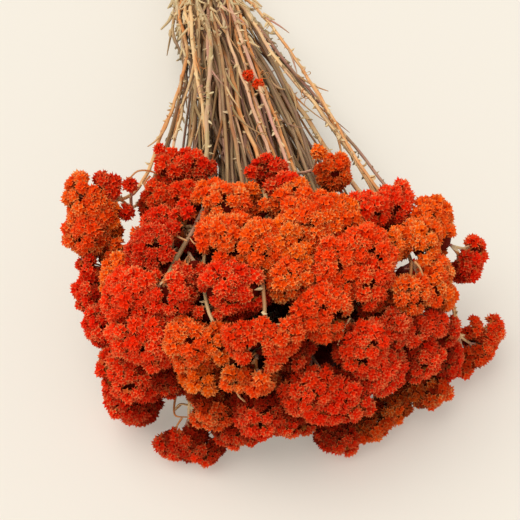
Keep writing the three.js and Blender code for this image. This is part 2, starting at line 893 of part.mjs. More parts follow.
// What a cut leaves loose is dropped.
function largestBody(whole) {
  const bodies = whole.decompose();
  return bodies.reduce((best, body) => (body.volume() > best.volume() ? body : best));
}

const bunch = new THREE.Group();

function addPiece(name, colour, whole) {
  const { vertProperties, triVerts } = whole.getMesh();
  const geometry = new THREE.BufferGeometry();
  geometry.setAttribute("position", new THREE.BufferAttribute(vertProperties, 3));
  geometry.setIndex(new THREE.BufferAttribute(triVerts, 1));
  const material = new THREE.MeshStandardMaterial({ color: colour, roughness: 0.9, metalness: 0 });
  const piece = new THREE.Mesh(geometry, material);
  piece.name = name;
  bunch.add(piece);
}

const numbered = (name, index) => `${name}_${String(index + 1).padStart(2, "0")}`;

// The heads, each cut free of the stems and of the branches of other heads

const stemRoom = joined(stems.map((stem) => stemTube(stem.points, GAP)));
const branchRooms = heads.map(branchRoom);
heads.forEach((head, index) => {
  const clusters = head.clusters.map((cluster) => clusterSolid(cluster, head));
  const others = branchRooms.filter((_, other) => other !== index);
  const whole = joined([knot(head), ...clusters])
    .subtract(joined(others))
    .subtract(stemRoom)
    .trimByPlane([0, 0, 1], 0);
  addPiece(
    numbered("head", index),
    COLOURS[head.tint],
    largestBody(largestBody(whole).simplify(FACET_SLACK)),
  );
});

// The stems, in groups of three that the twine presses together

groups.forEach((group, index) => {
  const own = stems.filter((stem) => stem.group === group);
  const tubes = own.map((stem) => stemTube(stem.points));
  const stubs = own.flatMap((stem) => leafStubs(stem, stems.indexOf(stem)));
  const pressed = vec(group.x, TIE_Y, TIE_Z + group.z);
  const half = vec(0, TWINE, 0);
  const web = rod(
    pressed.clone().sub(half),
    pressed.clone().add(half),
    GROUP_RADIUS,
    GROUP_RADIUS,
    GROUP_SIZE,
  );
  addPiece(numbered("stems", index), COLOURS.stem, largestBody(joined([web, ...tubes, ...stubs])));
});

// The tie: turns of twine side by side, pulled tight into one ring, with their ends tucked in

{
  const edge = (TWINE * TWINE_TURNS) / 2;
  const outline = [new THREE.Vector2(TIE_INNER, -edge)];
  for (let turn = 0; turn < TWINE_TURNS; turn++) {
    const y = turn * TWINE - edge;
    outline.push(new THREE.Vector2(TIE_OUTER - GROOVE_OVER_TWINE * TWINE, y));
    outline.push(new THREE.Vector2(TIE_OUTER, y + TWINE / 2));
  }
  outline.push(new THREE.Vector2(TIE_OUTER - GROOVE_OVER_TWINE * TWINE, edge));
  outline.push(new THREE.Vector2(TIE_INNER, edge));
  outline.push(outline[0].clone());
  const ring = new THREE.LatheGeometry(outline, TIE_SEGMENTS);
  addPiece("tie", COLOURS.twine, solid(ring, standing(tieMiddle, vec(0, 1, 0))));
}

// The origin goes under the middle of the whole bunch.
const bounds = new THREE.Box3().setFromObject(bunch);
const middle = bounds.getCenter(vec(0, 0, 0));
bunch.position.set(-middle.x, -middle.y, -bounds.min.z);

export default bunch;
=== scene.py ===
"""The looks of a bunch of dried lonas that lies on a table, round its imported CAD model."""

import math
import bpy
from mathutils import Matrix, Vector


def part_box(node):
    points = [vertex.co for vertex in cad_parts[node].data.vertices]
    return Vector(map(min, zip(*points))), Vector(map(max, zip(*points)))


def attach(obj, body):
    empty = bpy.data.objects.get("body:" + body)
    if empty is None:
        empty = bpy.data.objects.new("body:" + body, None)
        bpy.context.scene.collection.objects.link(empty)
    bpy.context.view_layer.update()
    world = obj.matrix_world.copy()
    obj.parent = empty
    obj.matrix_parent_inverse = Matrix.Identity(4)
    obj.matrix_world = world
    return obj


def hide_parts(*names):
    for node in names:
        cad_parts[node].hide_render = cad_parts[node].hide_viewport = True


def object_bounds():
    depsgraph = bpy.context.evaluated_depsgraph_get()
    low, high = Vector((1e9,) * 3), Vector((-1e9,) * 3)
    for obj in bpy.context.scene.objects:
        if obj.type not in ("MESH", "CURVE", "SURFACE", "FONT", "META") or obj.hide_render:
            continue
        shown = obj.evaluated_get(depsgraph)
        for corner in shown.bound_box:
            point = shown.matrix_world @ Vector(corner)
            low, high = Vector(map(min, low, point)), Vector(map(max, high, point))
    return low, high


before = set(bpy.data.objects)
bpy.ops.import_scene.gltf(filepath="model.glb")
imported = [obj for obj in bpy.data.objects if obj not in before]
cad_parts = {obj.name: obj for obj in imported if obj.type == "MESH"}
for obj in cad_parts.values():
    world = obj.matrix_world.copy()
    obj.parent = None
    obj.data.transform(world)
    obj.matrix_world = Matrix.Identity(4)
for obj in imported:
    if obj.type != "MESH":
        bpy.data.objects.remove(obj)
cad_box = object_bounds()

from types import SimpleNamespace

import bpy
import numpy as np
from mathutils import Matrix, Vector

# How the heads lie
# Lonas grows in heads: a few domed clusters of button flowers on short branches off one stem. The
# heads of the bunch press together into a rounded pile on the table. Their places here are in
# millimetres from the table under the pile: X across, Y back along the stems, Z up.

PILE_MIDDLE = np.array((0, 0, 32))
PILE_HALF = np.array((82, 57, 52))
NECK = np.array((0, 150, 30))

VIEW_ELEVATION = math.radians(55)
VIEW_AZIMUTH = math.radians(11)
VIEW_DISTANCE = 450
FOCAL_PIXELS = 1011
IMAGE_PIXELS = 520
PILE_MIDDLE_PIXEL = (286, 300)
FORWARD = np.array(
    (
        math.sin(VIEW_AZIMUTH) * math.cos(VIEW_ELEVATION),
        math.cos(VIEW_AZIMUTH) * math.cos(VIEW_ELEVATION),
        -math.sin(VIEW_ELEVATION),
    )
)
RIGHT = np.array((math.cos(VIEW_AZIMUTH), -math.sin(VIEW_AZIMUTH), 0))
UP = np.cross(RIGHT, FORWARD)


def unit(vector):
    return vector / np.linalg.norm(vector)


def sight_line(u, v):
    """The direction in which the camera sees a pixel."""
    middle = IMAGE_PIXELS / 2
    return unit(FORWARD * FOCAL_PIXELS + RIGHT * (u - middle) + UP * (middle - v))


EYE = PILE_MIDDLE - sight_line(*PILE_MIDDLE_PIXEL) * VIEW_DISTANCE


def chance(seed):
    """A number from 0 to 1 that looks random and is always the same for the same seed."""
    return math.sin(seed * 127.1 + 311.7) * 43758.5453 % 1


def between(low, high, share):
    return low + (high - low) * share


def outline_distance(sight):
    """How far along a line of sight the pile's outline is, or the nearest point to it."""
    start = (EYE - PILE_MIDDLE) / PILE_HALF
    along = sight / PILE_HALF
    a, b, c = along @ along, along @ start, start @ start - 1
    return (-b - math.sqrt(max(b * b - a * c, 0))) / a


def spot(u, v, deep=0, height=None, lowest=0):
    """The place that is seen at a pixel: on the pile's outline, deep behind it, or at a height."""
    sight = sight_line(u, v)
    distance = outline_distance(sight) + deep
    if height is not None:
        distance = (height - EYE[2]) / sight[2]
    return EYE + sight * min(distance, (lowest - EYE[2]) / sight[2])


SEEN_AWAY = 0.8
SEEN_OUTWARD = 0.35
SEEN_LOWEST = 0.4  # of its spread, for the middle of a cluster over the table
HIDDEN_AWAY = 0.4
HIDDEN_OUTWARD = 0.9


def seen(u, v, spread, deep=0, height=None, nod=0, full=1):
    """A cluster whose middle is seen at a pixel. It faces away from the neck. Nod turns it down,
    off the end of a stem that bends over. Full is how much of its room its florets fill."""
    middle = spot(u, v, deep, height, lowest=SEEN_LOWEST * spread)
    return SimpleNamespace(
        middle=middle, spread=spread, away=SEEN_AWAY, outward=SEEN_OUTWARD, nod=nod, full=full
    )


def hidden(x, y, z, spread):
    """A cluster out of sight inside the pile, which faces mostly outwards."""
    middle = np.array((x, y, z), float)
    return SimpleNamespace(
        middle=middle, spread=spread, away=HIDDEN_AWAY, outward=HIDDEN_OUTWARD, nod=0, full=1
    )


def head(tint, *clusters, facing=None, joint=None, bend=None):
    """A head. Its joint, and the bend that its stem comes from, are given where they are seen."""
    return SimpleNamespace(
        tint=tint, clusters=clusters, told=facing, joint=joint, bend=bend, joint_seen=joint is not None
    )


heads = [
    head(
        "red",
        seen(172, 168, spread=18, full=0.72),
        seen(196, 167, spread=18, full=0.74),
        seen(160, 149, spread=7),
    ),
    head(
        "orange",
        seen(93, 203, spread=23),
        seen(88, 233, spread=19),
        seen(110, 220, spread=17),
        joint=spot(114, 203, deep=2),
        bend=spot(140, 187, deep=12),
    ),
    head(
        "dark",
        seen(108, 189, spread=12),
        seen(131, 185, spread=7),
        seen(123, 217, spread=9),
        joint=spot(130, 207, deep=14),
        bend=spot(163, 180, deep=16),
    ),
    head("orange", seen(138, 234, spread=8), seen(118, 256, spread=16), seen(122, 280, spread=17)),
    head("red", seen(93, 268, spread=12), seen(93, 294, spread=15)),
    head("red", seen(148, 336, spread=26), seen(106, 325, spread=17)),
    head("red", seen(135, 374, spread=23), seen(131, 398, spread=23), seen(168, 378, spread=15, deep=8)),
    head(
        "red",
        seen(178, 443, spread=15, height=9),
        seen(203, 446, spread=16, height=9),
        seen(190, 435, spread=12, height=15),
        joint=spot(189, 421, height=19),
        bend=spot(191, 378, height=32),
    ),
    head("orange", seen(214, 410, spread=16), seen(209, 388, spread=16, deep=8)),
    head("flame", seen(163, 203, spread=18), seen(190, 203, spread=17), seen(193, 189, spread=12)),
    head("red", seen(160, 227, spread=14, deep=5), seen(190, 227, spread=16, deep=5)),
    head("dark", seen(158, 258, spread=24), seen(195, 266, spread=14)),
    head(
        "red",
        seen(140, 303, spread=28),
        seen(168, 296, spread=20),
        seen(183, 293, spread=8),
        joint=spot(162, 283, deep=-7),
        bend=spot(207, 200, deep=3),
    ),
    head(
        "orange",
        seen(192, 345, spread=20),
        seen(219, 343, spread=15),
        seen(205, 373, spread=19, deep=5),
        joint=spot(213, 326, deep=0),
        bend=spot(205, 296, deep=4),
    ),
    head("red", seen(228, 291, spread=21), seen(247, 290, spread=16), seen(206, 315, spread=12, deep=6)),
    head("orange", seen(228, 215, spread=21), seen(228, 246, spread=23), seen(212, 203, spread=15)),
    head("orange", seen(245, 197, spread=13, full=0.75), seen(261, 209, spread=9, full=0.85)),
    head("orange", seen(258, 250, spread=22), seen(284, 243, spread=19)),
    head(
        "flame",
        seen(249, 336, spread=17, deep=-5, nod=0.7, full=1.1),
        seen(273, 334, spread=19, deep=-5, nod=0.7, full=1.05),
        seen(262, 350, spread=14, deep=-5, nod=0.7, full=1.3),
        joint=spot(265, 318, deep=-9),
        bend=spot(264, 285, deep=-2),
    ),
    head(
        "orange",
        seen(241, 376, spread=13, deep=-3, nod=0.7),
        seen(258, 378, spread=14, deep=-3, nod=0.7),
        joint=spot(255, 361, deep=-4),
        bend=spot(257, 342, deep=4),
    ),
    head("red", seen(240, 425, spread=19), seen(260, 408, spread=21), seen(289, 415, spread=17)),
    head(
        "red",
        seen(251, 172, spread=7),
        seen(270, 171, spread=15, full=0.8),
        seen(284, 187, spread=11),
    ),
    head("orange", seen(281, 206, spread=12, full=0.75), seen(297, 195, spread=13, full=0.8)),
    head(
        "flame",
        seen(248, 75, spread=8, height=42),
        seen(258, 84, spread=8, height=41),
        facing=(0.3, -0.85, 0.3),
    ),
    head("orange", seen(333, 173, spread=21, full=0.68), seen(318, 152, spread=7)),
    head("orange", seen(311, 226, spread=23), seen(335, 224, spread=20)),
    head("orange", seen(296, 262, spread=15), seen(291, 281, spread=16)),
    head("flame", seen(336, 270, spread=21), seen(362, 258, spread=25), seen(366, 283, spread=18)),
    head("flame", seen(322, 312, spread=22), seen(368, 303, spread=16, deep=10)),
    head("dark", seen(298, 334, spread=14, deep=8), seen(288, 357, spread=14, deep=4)),
    head(
        "red",
        seen(365, 212, spread=18, full=0.85),
        seen(393, 206, spread=18, full=0.85),
        joint=spot(374, 203, deep=12),
        bend=spot(354, 176, deep=14),
    ),
    head(
        "orange",
        seen(425, 222, spread=19),
        seen(418, 248, spread=18),
        seen(441, 240, spread=12),
        seen(388, 246, spread=13),
        joint=spot(405, 233, deep=14),
        bend=spot(380, 194, deep=14),
    ),
    head(
        "red",
        seen(465, 263, spread=15),
        seen(474, 250, spread=9),
        joint=spot(453, 247, deep=0),
        bend=spot(425, 233, deep=18),
    ),
    head(
        "orange",
        seen(432, 275, spread=14),
        seen(428, 291, spread=13),
        seen(407, 296, spread=16),
        seen(440, 298, spread=11),
        joint=spot(413, 264, deep=3),
        bend=spot(396, 226, deep=20),
    ),
    head(
        "dark",
        seen(391, 330, spread=14),
        seen(410, 331, spread=12),
        seen(428, 326, spread=14),
        seen(443, 331, spread=12),
    ),
    head(
        "flame",
        seen(468, 330, spread=11, height=20),
        seen(487, 333, spread=14, height=18),
        seen(479, 350, spread=13, height=15),
        seen(463, 362, spread=9, height=13),
        joint=spot(460, 336, height=24),
        bend=spot(448, 290, height=30),
    ),
    head("red", seen(364, 346, spread=21), seen(378, 368, spread=20)),
    head("red", seen(418, 356, spread=18), seen(441, 360, spread=17)),
    head("orange", seen(414, 386, spread=15), seen(433, 391, spread=13)),
    head("red", seen(308, 390, spread=23), seen(336, 394, spread=24)),
    head("red", seen(340, 435, spread=16), seen(330, 421, spread=13)),
    head("orange", seen(388, 402, spread=17), seen(367, 425, spread=15)),
    head(
        "dark",
        hidden(0, -5, 7, spread=26),
        hidden(-33, -10, 9, spread=24),
        hidden(-27, 21, 10, spread=22),
        hidden(-58, 8, 15, spread=21),
        hidden(-28, 22, 40, spread=24),
        hidden(2, -12, 40, spread=26),
    ),
    head(
        "dark",
        hidden(34, -10, 9, spread=24),
        hidden(26, 21, 10, spread=22),
        hidden(58, 8, 15, spread=22),
        hidden(30, 4, 42, spread=26),
        hidden(2, 34, 40, spread=22),
    ),
]


APPROACH = 18
FACING_STRAY = 0.3
LEAST_RISE = -0.35
REACH_OF_SPREAD = 0.4
REACH_OF_OFFSET = 0.6
JOINT_BEHIND = 5
JOINT_LOWEST = 6
BEND_LOWEST = 5


def lay_out(head, index):
    """Turns the clusters of a head, and finds the joint where its branches meet its stem."""
    for k, cluster in enumerate(head.clusters):
        cluster.seed = 100 * (index + 1) + 10 * k
        stray = np.array([chance(cluster.seed + axis) - 0.5 for axis in range(3)])
        cluster.facing = unit(
            cluster.away * unit(cluster.middle - NECK)
            + cluster.outward * unit((cluster.middle - PILE_MIDDLE) / PILE_HALF**2)
            + FACING_STRAY * stray
            - np.array((0, 0, cluster.nod))
        )
        if head.told:
            cluster.facing = unit(np.array(head.told))
    head.index = index
    shares = [cluster.spread**2 for cluster in head.clusters]
    middle = np.average([cluster.middle for cluster in head.clusters], axis=0, weights=shares)
    if head.joint is not None:
        head.facing = unit(middle - head.joint)
        return
    facing = sum(share * cluster.facing for share, cluster in zip(shares, head.clusters))
    facing[2] = max(facing[2], LEAST_RISE * math.hypot(facing[0], facing[1]))
    head.facing = unit(facing)
    reach = max(
        REACH_OF_SPREAD * cluster.spread
        + REACH_OF_OFFSET * np.linalg.norm(cluster.middle - middle)
        for cluster in head.clusters
    )
    head.joint = middle - head.facing * (JOINT_BEHIND + reach)
    head.joint[2] = max(head.joint[2], JOINT_LOWEST)
    head.bend = head.joint - head.facing * APPROACH
    head.bend[2] = max(head.bend[2], BEND_LOWEST)


for index, one in enumerate(heads):
    lay_out(one, index)
all_clusters = [cluster for one in heads for cluster in one.clusters]

# Stems
# Each head stands on one stem: a thin dry straw, ribbed, pinkish near the head and paler towards
# the cut end, with the hooked stubs of its small leaves all along. The stems run together in the
# tie, three to a group, and fan out from there for the bends behind their heads. At a head they
# fork into its branches.

STEM_RADIUS_CUT = 1.4
STEM_RADIUS_HEAD = 1.1
STEM_APART = 3.8
GROUP_APART = 3.1
CUT_END_NEAR = 330
CUT_END_FAR = 355
CUT_END_SPREAD = 1.22
STATIONS_Y = [190, 150, 100, 60, 20, -20]
WAIST_Y = STATIONS_Y[1]
WAIST_LEFT = -10
WAIST_SPREAD = 0.3
BEND_CLEAR = 12
KNOT_FORWARD = 1
TIE_Y = 235
TIE_INNER = 17.7
TWINE = 2.2
TIE_OUTER = TIE_INNER + TWINE
TIE_MIDDLE = np.array((0, TIE_Y, TIE_OUTER))
GROUP_ROWS = [2, 4, 3, 4, 2]
GROUP_COLUMN_STEP = 6.4
GROUP_ROW_STEP = 6.7
GROUP_RADIUS = 1.85
GROUP_SIZE = 3


def route_at(start, bend, y):
    """Where a stem that leaves the tie at start is once it has come down to y. It goes straight
    for the bend behind its head. The stems on the left leave the others only at the waist."""
    waist = start + (bend - start) * (start[1] - WAIST_Y) / (start[1] - bend[1])
    waist[0] = max(waist[0], WAIST_LEFT + (waist[0] - WAIST_LEFT) * WAIST_SPREAD)
    if y >= WAIST_Y:
        return start + (waist - start) * (start[1] - y) / (start[1] - WAIST_Y)
    return waist + (bend - waist) * min((WAIST_Y - y) / (WAIST_Y - bend[1]), 1)


for one in heads:
    way = route_at(TIE_MIDDLE, one.bend, STATIONS_Y[1]) - TIE_MIDDLE
    one.across, one.lift = way[0] / -way[1], way[2] / -way[1]
ranked = sorted(heads, key=lambda one: one.across)
stems = []
for column, rows in enumerate(GROUP_ROWS):
    in_column = sorted(ranked[: rows * GROUP_SIZE], key=lambda one: one.lift)
    ranked = ranked[rows * GROUP_SIZE :]
    for row in range(rows):
        trio = in_column[row * GROUP_SIZE : (row + 1) * GROUP_SIZE]
        members = trio[2:] + sorted(trio[:2], key=lambda one: one.across)
        places = range(GROUP_SIZE) if len(trio) == GROUP_SIZE else range(1, GROUP_SIZE)
        group = SimpleNamespace(
            number=len(stems) and stems[-1].group.number + 1,
            x=(column - (len(GROUP_ROWS) - 1) / 2) * GROUP_COLUMN_STEP,
            z=(row - (rows - 1) / 2) * GROUP_ROW_STEP,
        )
        for place, one in zip(places, members):
            angle = (place / GROUP_SIZE + 0.25) * 2 * math.pi
            x = group.x + GROUP_RADIUS * math.cos(angle)
            z = group.z + GROUP_RADIUS * math.sin(angle)
            cut_y = between(CUT_END_NEAR, CUT_END_FAR, chance(one.index + 0.5))
            start = TIE_MIDDLE + np.array((x, 0, z))
            points = [
                np.array((x * CUT_END_SPREAD, cut_y, TIE_OUTER + z * CUT_END_SPREAD)),
                start,
                *(route_at(start, one.bend, y) for y in STATIONS_Y if y > one.bend[1] + BEND_CLEAR),
                one.bend,
                one.joint - one.facing * KNOT_FORWARD,
            ]
            stems.append(SimpleNamespace(head=one, group=group, points=np.array(points)))

# In front of the tie the stems push each other apart, and off the table, until none touches
# another. The joints of their heads move with them.
SETTLE_ROUNDS = 100
SETTLE_FROM = TIE_Y - 12
SETTLE_TO = -60
SETTLE_STEP = 6
PUSH = 0.3
STEM_LOWEST = STEM_RADIUS_CUT + 0.5


def crossing(points, y):
    """The segment of a stem that crosses the plane at y, and the share of the way along it."""
    following = np.flatnonzero(points[:, 1] < y)
    if len(following) == 0 or following[0] == 0:
        return None
    segment = following[0] - 1
    return segment, (points[segment, 1] - y) / (points[segment, 1] - points[segment + 1, 1])


crossings = []
for y in range(SETTLE_FROM, SETTLE_TO, -SETTLE_STEP):
    found = [(number, crossing(stem.points, y)) for number, stem in enumerate(stems)]
    numbers = [number for number, at in found if at]
    if len(numbers) < 2:
        break
    segments = np.array([at[0] for _, at in found if at])
    shares = np.array([at[1] for _, at in found if at])[:, None]
    group_numbers = np.array([stems[number].group.number for number in numbers])
    grouped = (group_numbers[:, None] == group_numbers) & (y > STATIONS_Y[0])
    crossings.append((numbers, segments, shares, np.where(grouped, GROUP_APART, STEM_APART)))

for _ in range(SETTLE_ROUNDS):
    pushes = [np.zeros_like(stem.points) for stem in stems]
    for numbers, segments, shares, room in crossings:
        near = np.array([stems[n].points[s] for n, s in zip(numbers, segments)])
        far = np.array([stems[n].points[s + 1] for n, s in zip(numbers, segments)])
        at = between(near, far, shares)
        slants = np.linalg.norm(far - near, axis=1) / (near[:, 1] - far[:, 1])
        apart = at[:, None] - at[None]
        distances = np.linalg.norm(apart, axis=2) + np.eye(len(at))
        short = np.maximum(room * np.maximum(slants[:, None], slants) - distances, 0)
        np.fill_diagonal(short, 0)
        push = (apart / distances[..., None] * PUSH * short[..., None]).sum(axis=1)
        push /= shares**2 + (1 - shares) ** 2
        for n, s, one_push, share in zip(numbers, segments, push, shares[:, 0]):
            pushes[n][s] += one_push * (1 - share)
            pushes[n][s + 1] += one_push * share
    for stem, push in zip(stems, pushes):
        stem.points[2:, 0] += push[2:, 0]
        stem.points[2:, 2] = np.maximum(stem.points[2:, 2] + push[2:, 2], STEM_LOWEST)
for stem in stems:
    stem.head.joint = stem.points[-1] + stem.head.facing * KNOT_FORWARD

tie_low, tie_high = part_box("tie")
TO_FRAME = np.array((tie_low + tie_high) / 2) - TIE_MIDDLE / 1000


def in_frame(places):
    """Places of the layout, in metres in the frame of the CAD model."""
    return np.array(places) / 1000 + TO_FRAME


def pick(sockets, name):
    """The socket of a node with that name, or with that number, or the first."""
    if isinstance(name, int):
        return sockets[name]
    return next((socket for socket in sockets if socket.enabled and name in (None, socket.name)), None)


class Value:
    """The output of a node. Arithmetic on it adds Math nodes."""

    def __init__(self, nodes, socket):
        self.nodes = nodes
        self.socket = socket

    def __getitem__(self, name):
        """Another output of the same node."""
        return Value(self.nodes, pick(self.socket.node.outputs, name))

    def math(self, operation, *others):
        sockets = dict(enumerate((self, *others)))
        return self.nodes.add("ShaderNodeMath", sockets, operation=operation)

    def __add__(self, other):
        return self.math("ADD", other)

    def __sub__(self, other):
        return self.math("SUBTRACT", other)

    def __rsub__(self, other):
        return self.math("MULTIPLY_ADD", -1.0, other)

    def __mul__(self, other):
        return self.math("MULTIPLY", other)

    def __truediv__(self, other):
        return self.math("DIVIDE", other)

    def sine(self):
        return self.math("SINE")

    def cosine(self):
        return self.math("COSINE")

    def within(self, low, high):
        """0 up to low and 1 from high on, with a smooth change between them."""
        sockets = {"Value": self, "From Min": low, "From Max": high}
        return self.nodes.add("ShaderNodeMapRange", sockets, interpolation_type="SMOOTHSTEP")


class Nodes:
    """The nodes of a material, or of a shape that Geometry Nodes make."""

    def __init__(self, tree):
        self.tree = tree

    def add(self, kind, sockets=None, output=None, stops=None, **settings):
        """A new node's output. A ramp's stops and the other settings come before its sockets."""
        node = self.tree.nodes.new(kind)
        for name, value in settings.items():
            setattr(node, name, value)
        if stops:
            for position, _ in stops[1:-1]:
                node.color_ramp.elements.new(position)
            for element, (position, colour) in zip(node.color_ramp.elements, stops):
                element.position, element.color = position, colour
        for name, values in (sockets or {}).items():
            socket = pick(node.inputs, name)
            for value in values if isinstance(values, list) else [values]:
                if isinstance(value, Value):
                    self.tree.links.new(value.socket, socket)
                else:
                    socket.default_value = value
        return Value(self, pick(node.outputs, output))

    def vector(self, operation, *values):
        return self.add("ShaderNodeVectorMath", dict(enumerate(values)), operation=operation)

    def mix(self, share, first, second):
        """A colour between two others."""
        sockets = {"Factor": share, "A": first, "B": second}
        return self.add("ShaderNodeMix", sockets, data_type="RGBA")


def shape_nodes(name, **inputs):
    """Geometry Nodes that turn a base mesh into a shape, and the values that they are given."""
    tree = bpy.data.node_groups.new(name, "GeometryNodeTree")
    tree.interface.new_socket("Geometry", in_out="INPUT", socket_type="NodeSocketGeometry")
    for label, kind in inputs.items():
        label = label.replace("_", " ")
        tree.interface.new_socket(label, in_out="INPUT", socket_type="NodeSocket" + kind)
    tree.interface.new_socket("Geometry", in_out="OUTPUT", socket_type="NodeSocketGeometry")
    nodes = Nodes(tree)
    return nodes, nodes.add("NodeGroupInput")


def end_shape(nodes, shape, material):
    """Ends a tree with a plain mesh of one material."""
    realized = nodes.add("GeometryNodeRealizeInstances", {"Geometry": shape})
    finished = nodes.add("GeometryNodeSetMaterial", {"Geometry": realized, "Material": material})
    nodes.add("NodeGroupOutput", {"Geometry": finished})


def grown(nodes, name, base, **inputs):
    """The plain mesh object that the nodes make of a base mesh."""
    piece = bpy.data.objects.new(name, base)
    bpy.context.scene.collection.objects.link(piece)
    modifier = piece.modifiers.new("shape", "NODES")
    modifier.node_group = nodes.tree
    for item in nodes.tree.interface.items_tree:
        label = item.name.replace(" ", "_")
        if item.in_out == "INPUT" and label in inputs:
            modifier[item.identifier] = inputs[label]
    graph = bpy.context.evaluated_depsgraph_get()
    shape = bpy.data.meshes.new_from_object(
        piece.evaluated_get(graph), preserve_all_data_layers=True, depsgraph=graph
    )
    piece.modifiers.remove(modifier)
    piece.data = shape
    shape.name = name
    return piece


def named(nodes, name, kind="FLOAT"):
    """An attribute of the base mesh, inside Geometry Nodes."""
    return nodes.add("GeometryNodeInputNamedAttribute", {"Name": name}, data_type=kind)


def stored(nodes, geometry, name, value, domain="POINT"):
    """A shape with a value kept on it, for its material to read."""
    sockets = {"Geometry": geometry, "Name": name, "Value": value}
    return nodes.add("GeometryNodeStoreNamedAttribute", sockets, domain=domain)


def random_between(nodes, low, high, seed):
    kind = "FLOAT" if isinstance(low, (int, float)) else "FLOAT_VECTOR"
    sockets = {"Min": low, "Max": high, "Seed": seed}
    return nodes.add("FunctionNodeRandomValue", sockets, data_type=kind)


def spun_towards(nodes, way, angle):
    """The rotation that turns the top of a shape towards a way and spins it about that way."""
    turned = nodes.add("FunctionNodeAlignRotationToVector", {"Vector": way}, axis="Z")
    spun = nodes.add("FunctionNodeAxisAngleToRotation", {"Axis": (0.0, 0.0, 1.0), "Angle": angle})
    sockets = {"Rotation": turned, "Rotate By": spun}
    return nodes.add("FunctionNodeRotateRotation", sockets, rotation_space="LOCAL")


def planted(nodes, points, collection, rotation, size, variant=None):
    """One of the shapes of a collection on each point: any of them, or the given variant."""
    shapes = nodes.add(
        "GeometryNodeCollectionInfo",
        {"Collection": collection, "Separate Children": True, "Reset Children": True},
    )
    sockets = {
        "Points": points,
        "Instance": shapes,
        "Pick Instance": True,
        "Rotation": rotation,
        "Scale": size,
    }
    if variant:
        sockets["Instance Index"] = variant
    return nodes.add("GeometryNodeInstanceOnPoints", sockets)


def line_mesh(name, lines):
    """A mesh of open lines. Each has its places, and a value or one value a place for each of its
    attributes."""
    mesh = bpy.data.meshes.new(name)
    places = in_frame(np.concatenate([line["places"] for line in lines]))
    edges = []
    first = 0
    for line in lines:
        count = len(line["places"])
        edges += [(first + k, first + k + 1) for k in range(count - 1)]
        first += count
    mesh.from_pydata(places.tolist(), edges, [])
    for label in lines[0]:
        if label != "places":
            values = [np.broadcast_to(line[label], len(line["places"])) for line in lines]
            attribute = mesh.attributes.new(label, "FLOAT", "POINT")
            attribute.data.foreach_set("value", np.concatenate(values).astype(np.float32))
    return mesh


def solid_mesh(name, corners, faces, **attributes):
    """A closed mesh, with one value or one value a corner for each attribute."""
    mesh = bpy.data.meshes.new(name)
    mesh.from_pydata([tuple(corner) for corner in corners], [], faces)
    for label, values in attributes.items():
        values = np.full(len(corners), values, np.float32)
        mesh.attributes.new(label, "FLOAT", "POINT").data.foreach_set("value", values)
    return mesh


def closed_tube(places, radii, sides):
    """Corners and faces of a closed tube along places."""
    corners, faces = [], []
    for ring, (place, radius) in enumerate(zip(places, radii)):
        ahead = places[min(ring + 1, len(places) - 1)] - places[max(ring - 1, 0)]
        across = unit(np.cross(ahead, (0.31, 0.95, 0.05)))
        over = np.cross(unit(ahead), across)
        for side in range(sides):
            angle = 2 * math.pi * side / sides
            corners.append(place + radius * (math.cos(angle) * across + math.sin(angle) * over))
            if ring:
                here, back = ring * sides, (ring - 1) * sides
                after = (side + 1) % sides
                faces.append((back + side, back + after, here + after, here + side))
    faces.append(tuple(reversed(range(sides))))
    faces.append(tuple(range(len(corners) - sides, len(corners))))
    return corners, faces


def colour(code):
    """A colour code as linear light."""
    parts = [int(code[at : at + 2], 16) / 255 for at in (1, 3, 5)]
    return (*(((part + 0.055) / 1.055) ** 2.4 for part in parts), 1)


def surface(name):
    """A new material's nodes and the main shader."""
    material = bpy.data.materials.new(name)
    material.use_nodes = True
    nodes = Nodes(material.node_tree)
    return material, nodes, material.node_tree.nodes["Principled BSDF"]


def set_surface(nodes, shader, base_colour, roughness, height, depth):
    """Links what varies over a surface: its colour, its roughness and the bumps on it."""
    nodes.tree.links.new(base_colour.socket, shader.inputs["Base Color"])
    nodes.tree.links.new(roughness.socket, shader.inputs["Roughness"])
    bump = nodes.add("ShaderNodeBump", {"Height": height, "Distance": depth})
    nodes.tree.links.new(bump.socket, shader.inputs["Normal"])


def attribute(nodes, name):
    return nodes.add("ShaderNodeAttribute", output="Fac", attribute_name=name)


STRAW = colour("#fcd69c")
MAUVE = colour("#e2a492")
RUST = colour("#ee984e")
BROWN = colour("#b07044")
OLIVE = colour("#cab07a")
PALE_LEAF = colour("#ead8a8")
BARK_DARK = colour("#4a2c1a")
STEM_SHADE_BROWN = colour("#2a1508")

FIBRES_ALONG = 40
FIBRES_AROUND = 9
FIBRES_APART = 50
STAIN_SIZE = 60.0
STAIN = 0.3
BARK_SHARE = 0.4
LEAF_SHARE = 0.8
SHADE_SHARE = 0.85
FIBRE_DEPTH = 0.0004

stem_material, nodes, shader = surface("dried_stem")
tone = attribute(nodes, "tone")
along = attribute(nodes, "along")
around = attribute(nodes, "around")
leaf = attribute(nodes, "leaf")
length_ways = nodes.add(
    "ShaderNodeCombineXYZ",
    {"X": around * FIBRES_AROUND, "Y": along * FIBRES_ALONG, "Z": tone * FIBRES_APART},
)
fibres = nodes.add("ShaderNodeTexNoise", {"Vector": length_ways, "Scale": 1.0, "Detail": 4.0})
place = nodes.add("ShaderNodeTexCoord", output="Object")
stains = nodes.add("ShaderNodeTexNoise", {"Vector": place, "Scale": STAIN_SIZE})
stops = [
    (0, STRAW),
    (0.16, MAUVE),
    (0.3, STRAW),
    (0.42, RUST),
    (0.54, STRAW),
    (0.66, MAUVE),
    (0.8, OLIVE),
    (1, BROWN),
]
base = nodes.add("ShaderNodeValToRGB", {"Fac": tone + (stains - 0.5) * STAIN}, stops=stops)
base = nodes.mix(leaf * LEAF_SHARE, base, PALE_LEAF)
base = nodes.mix(fibres.within(0.5, 0.72) * BARK_SHARE, base, BARK_DARK)
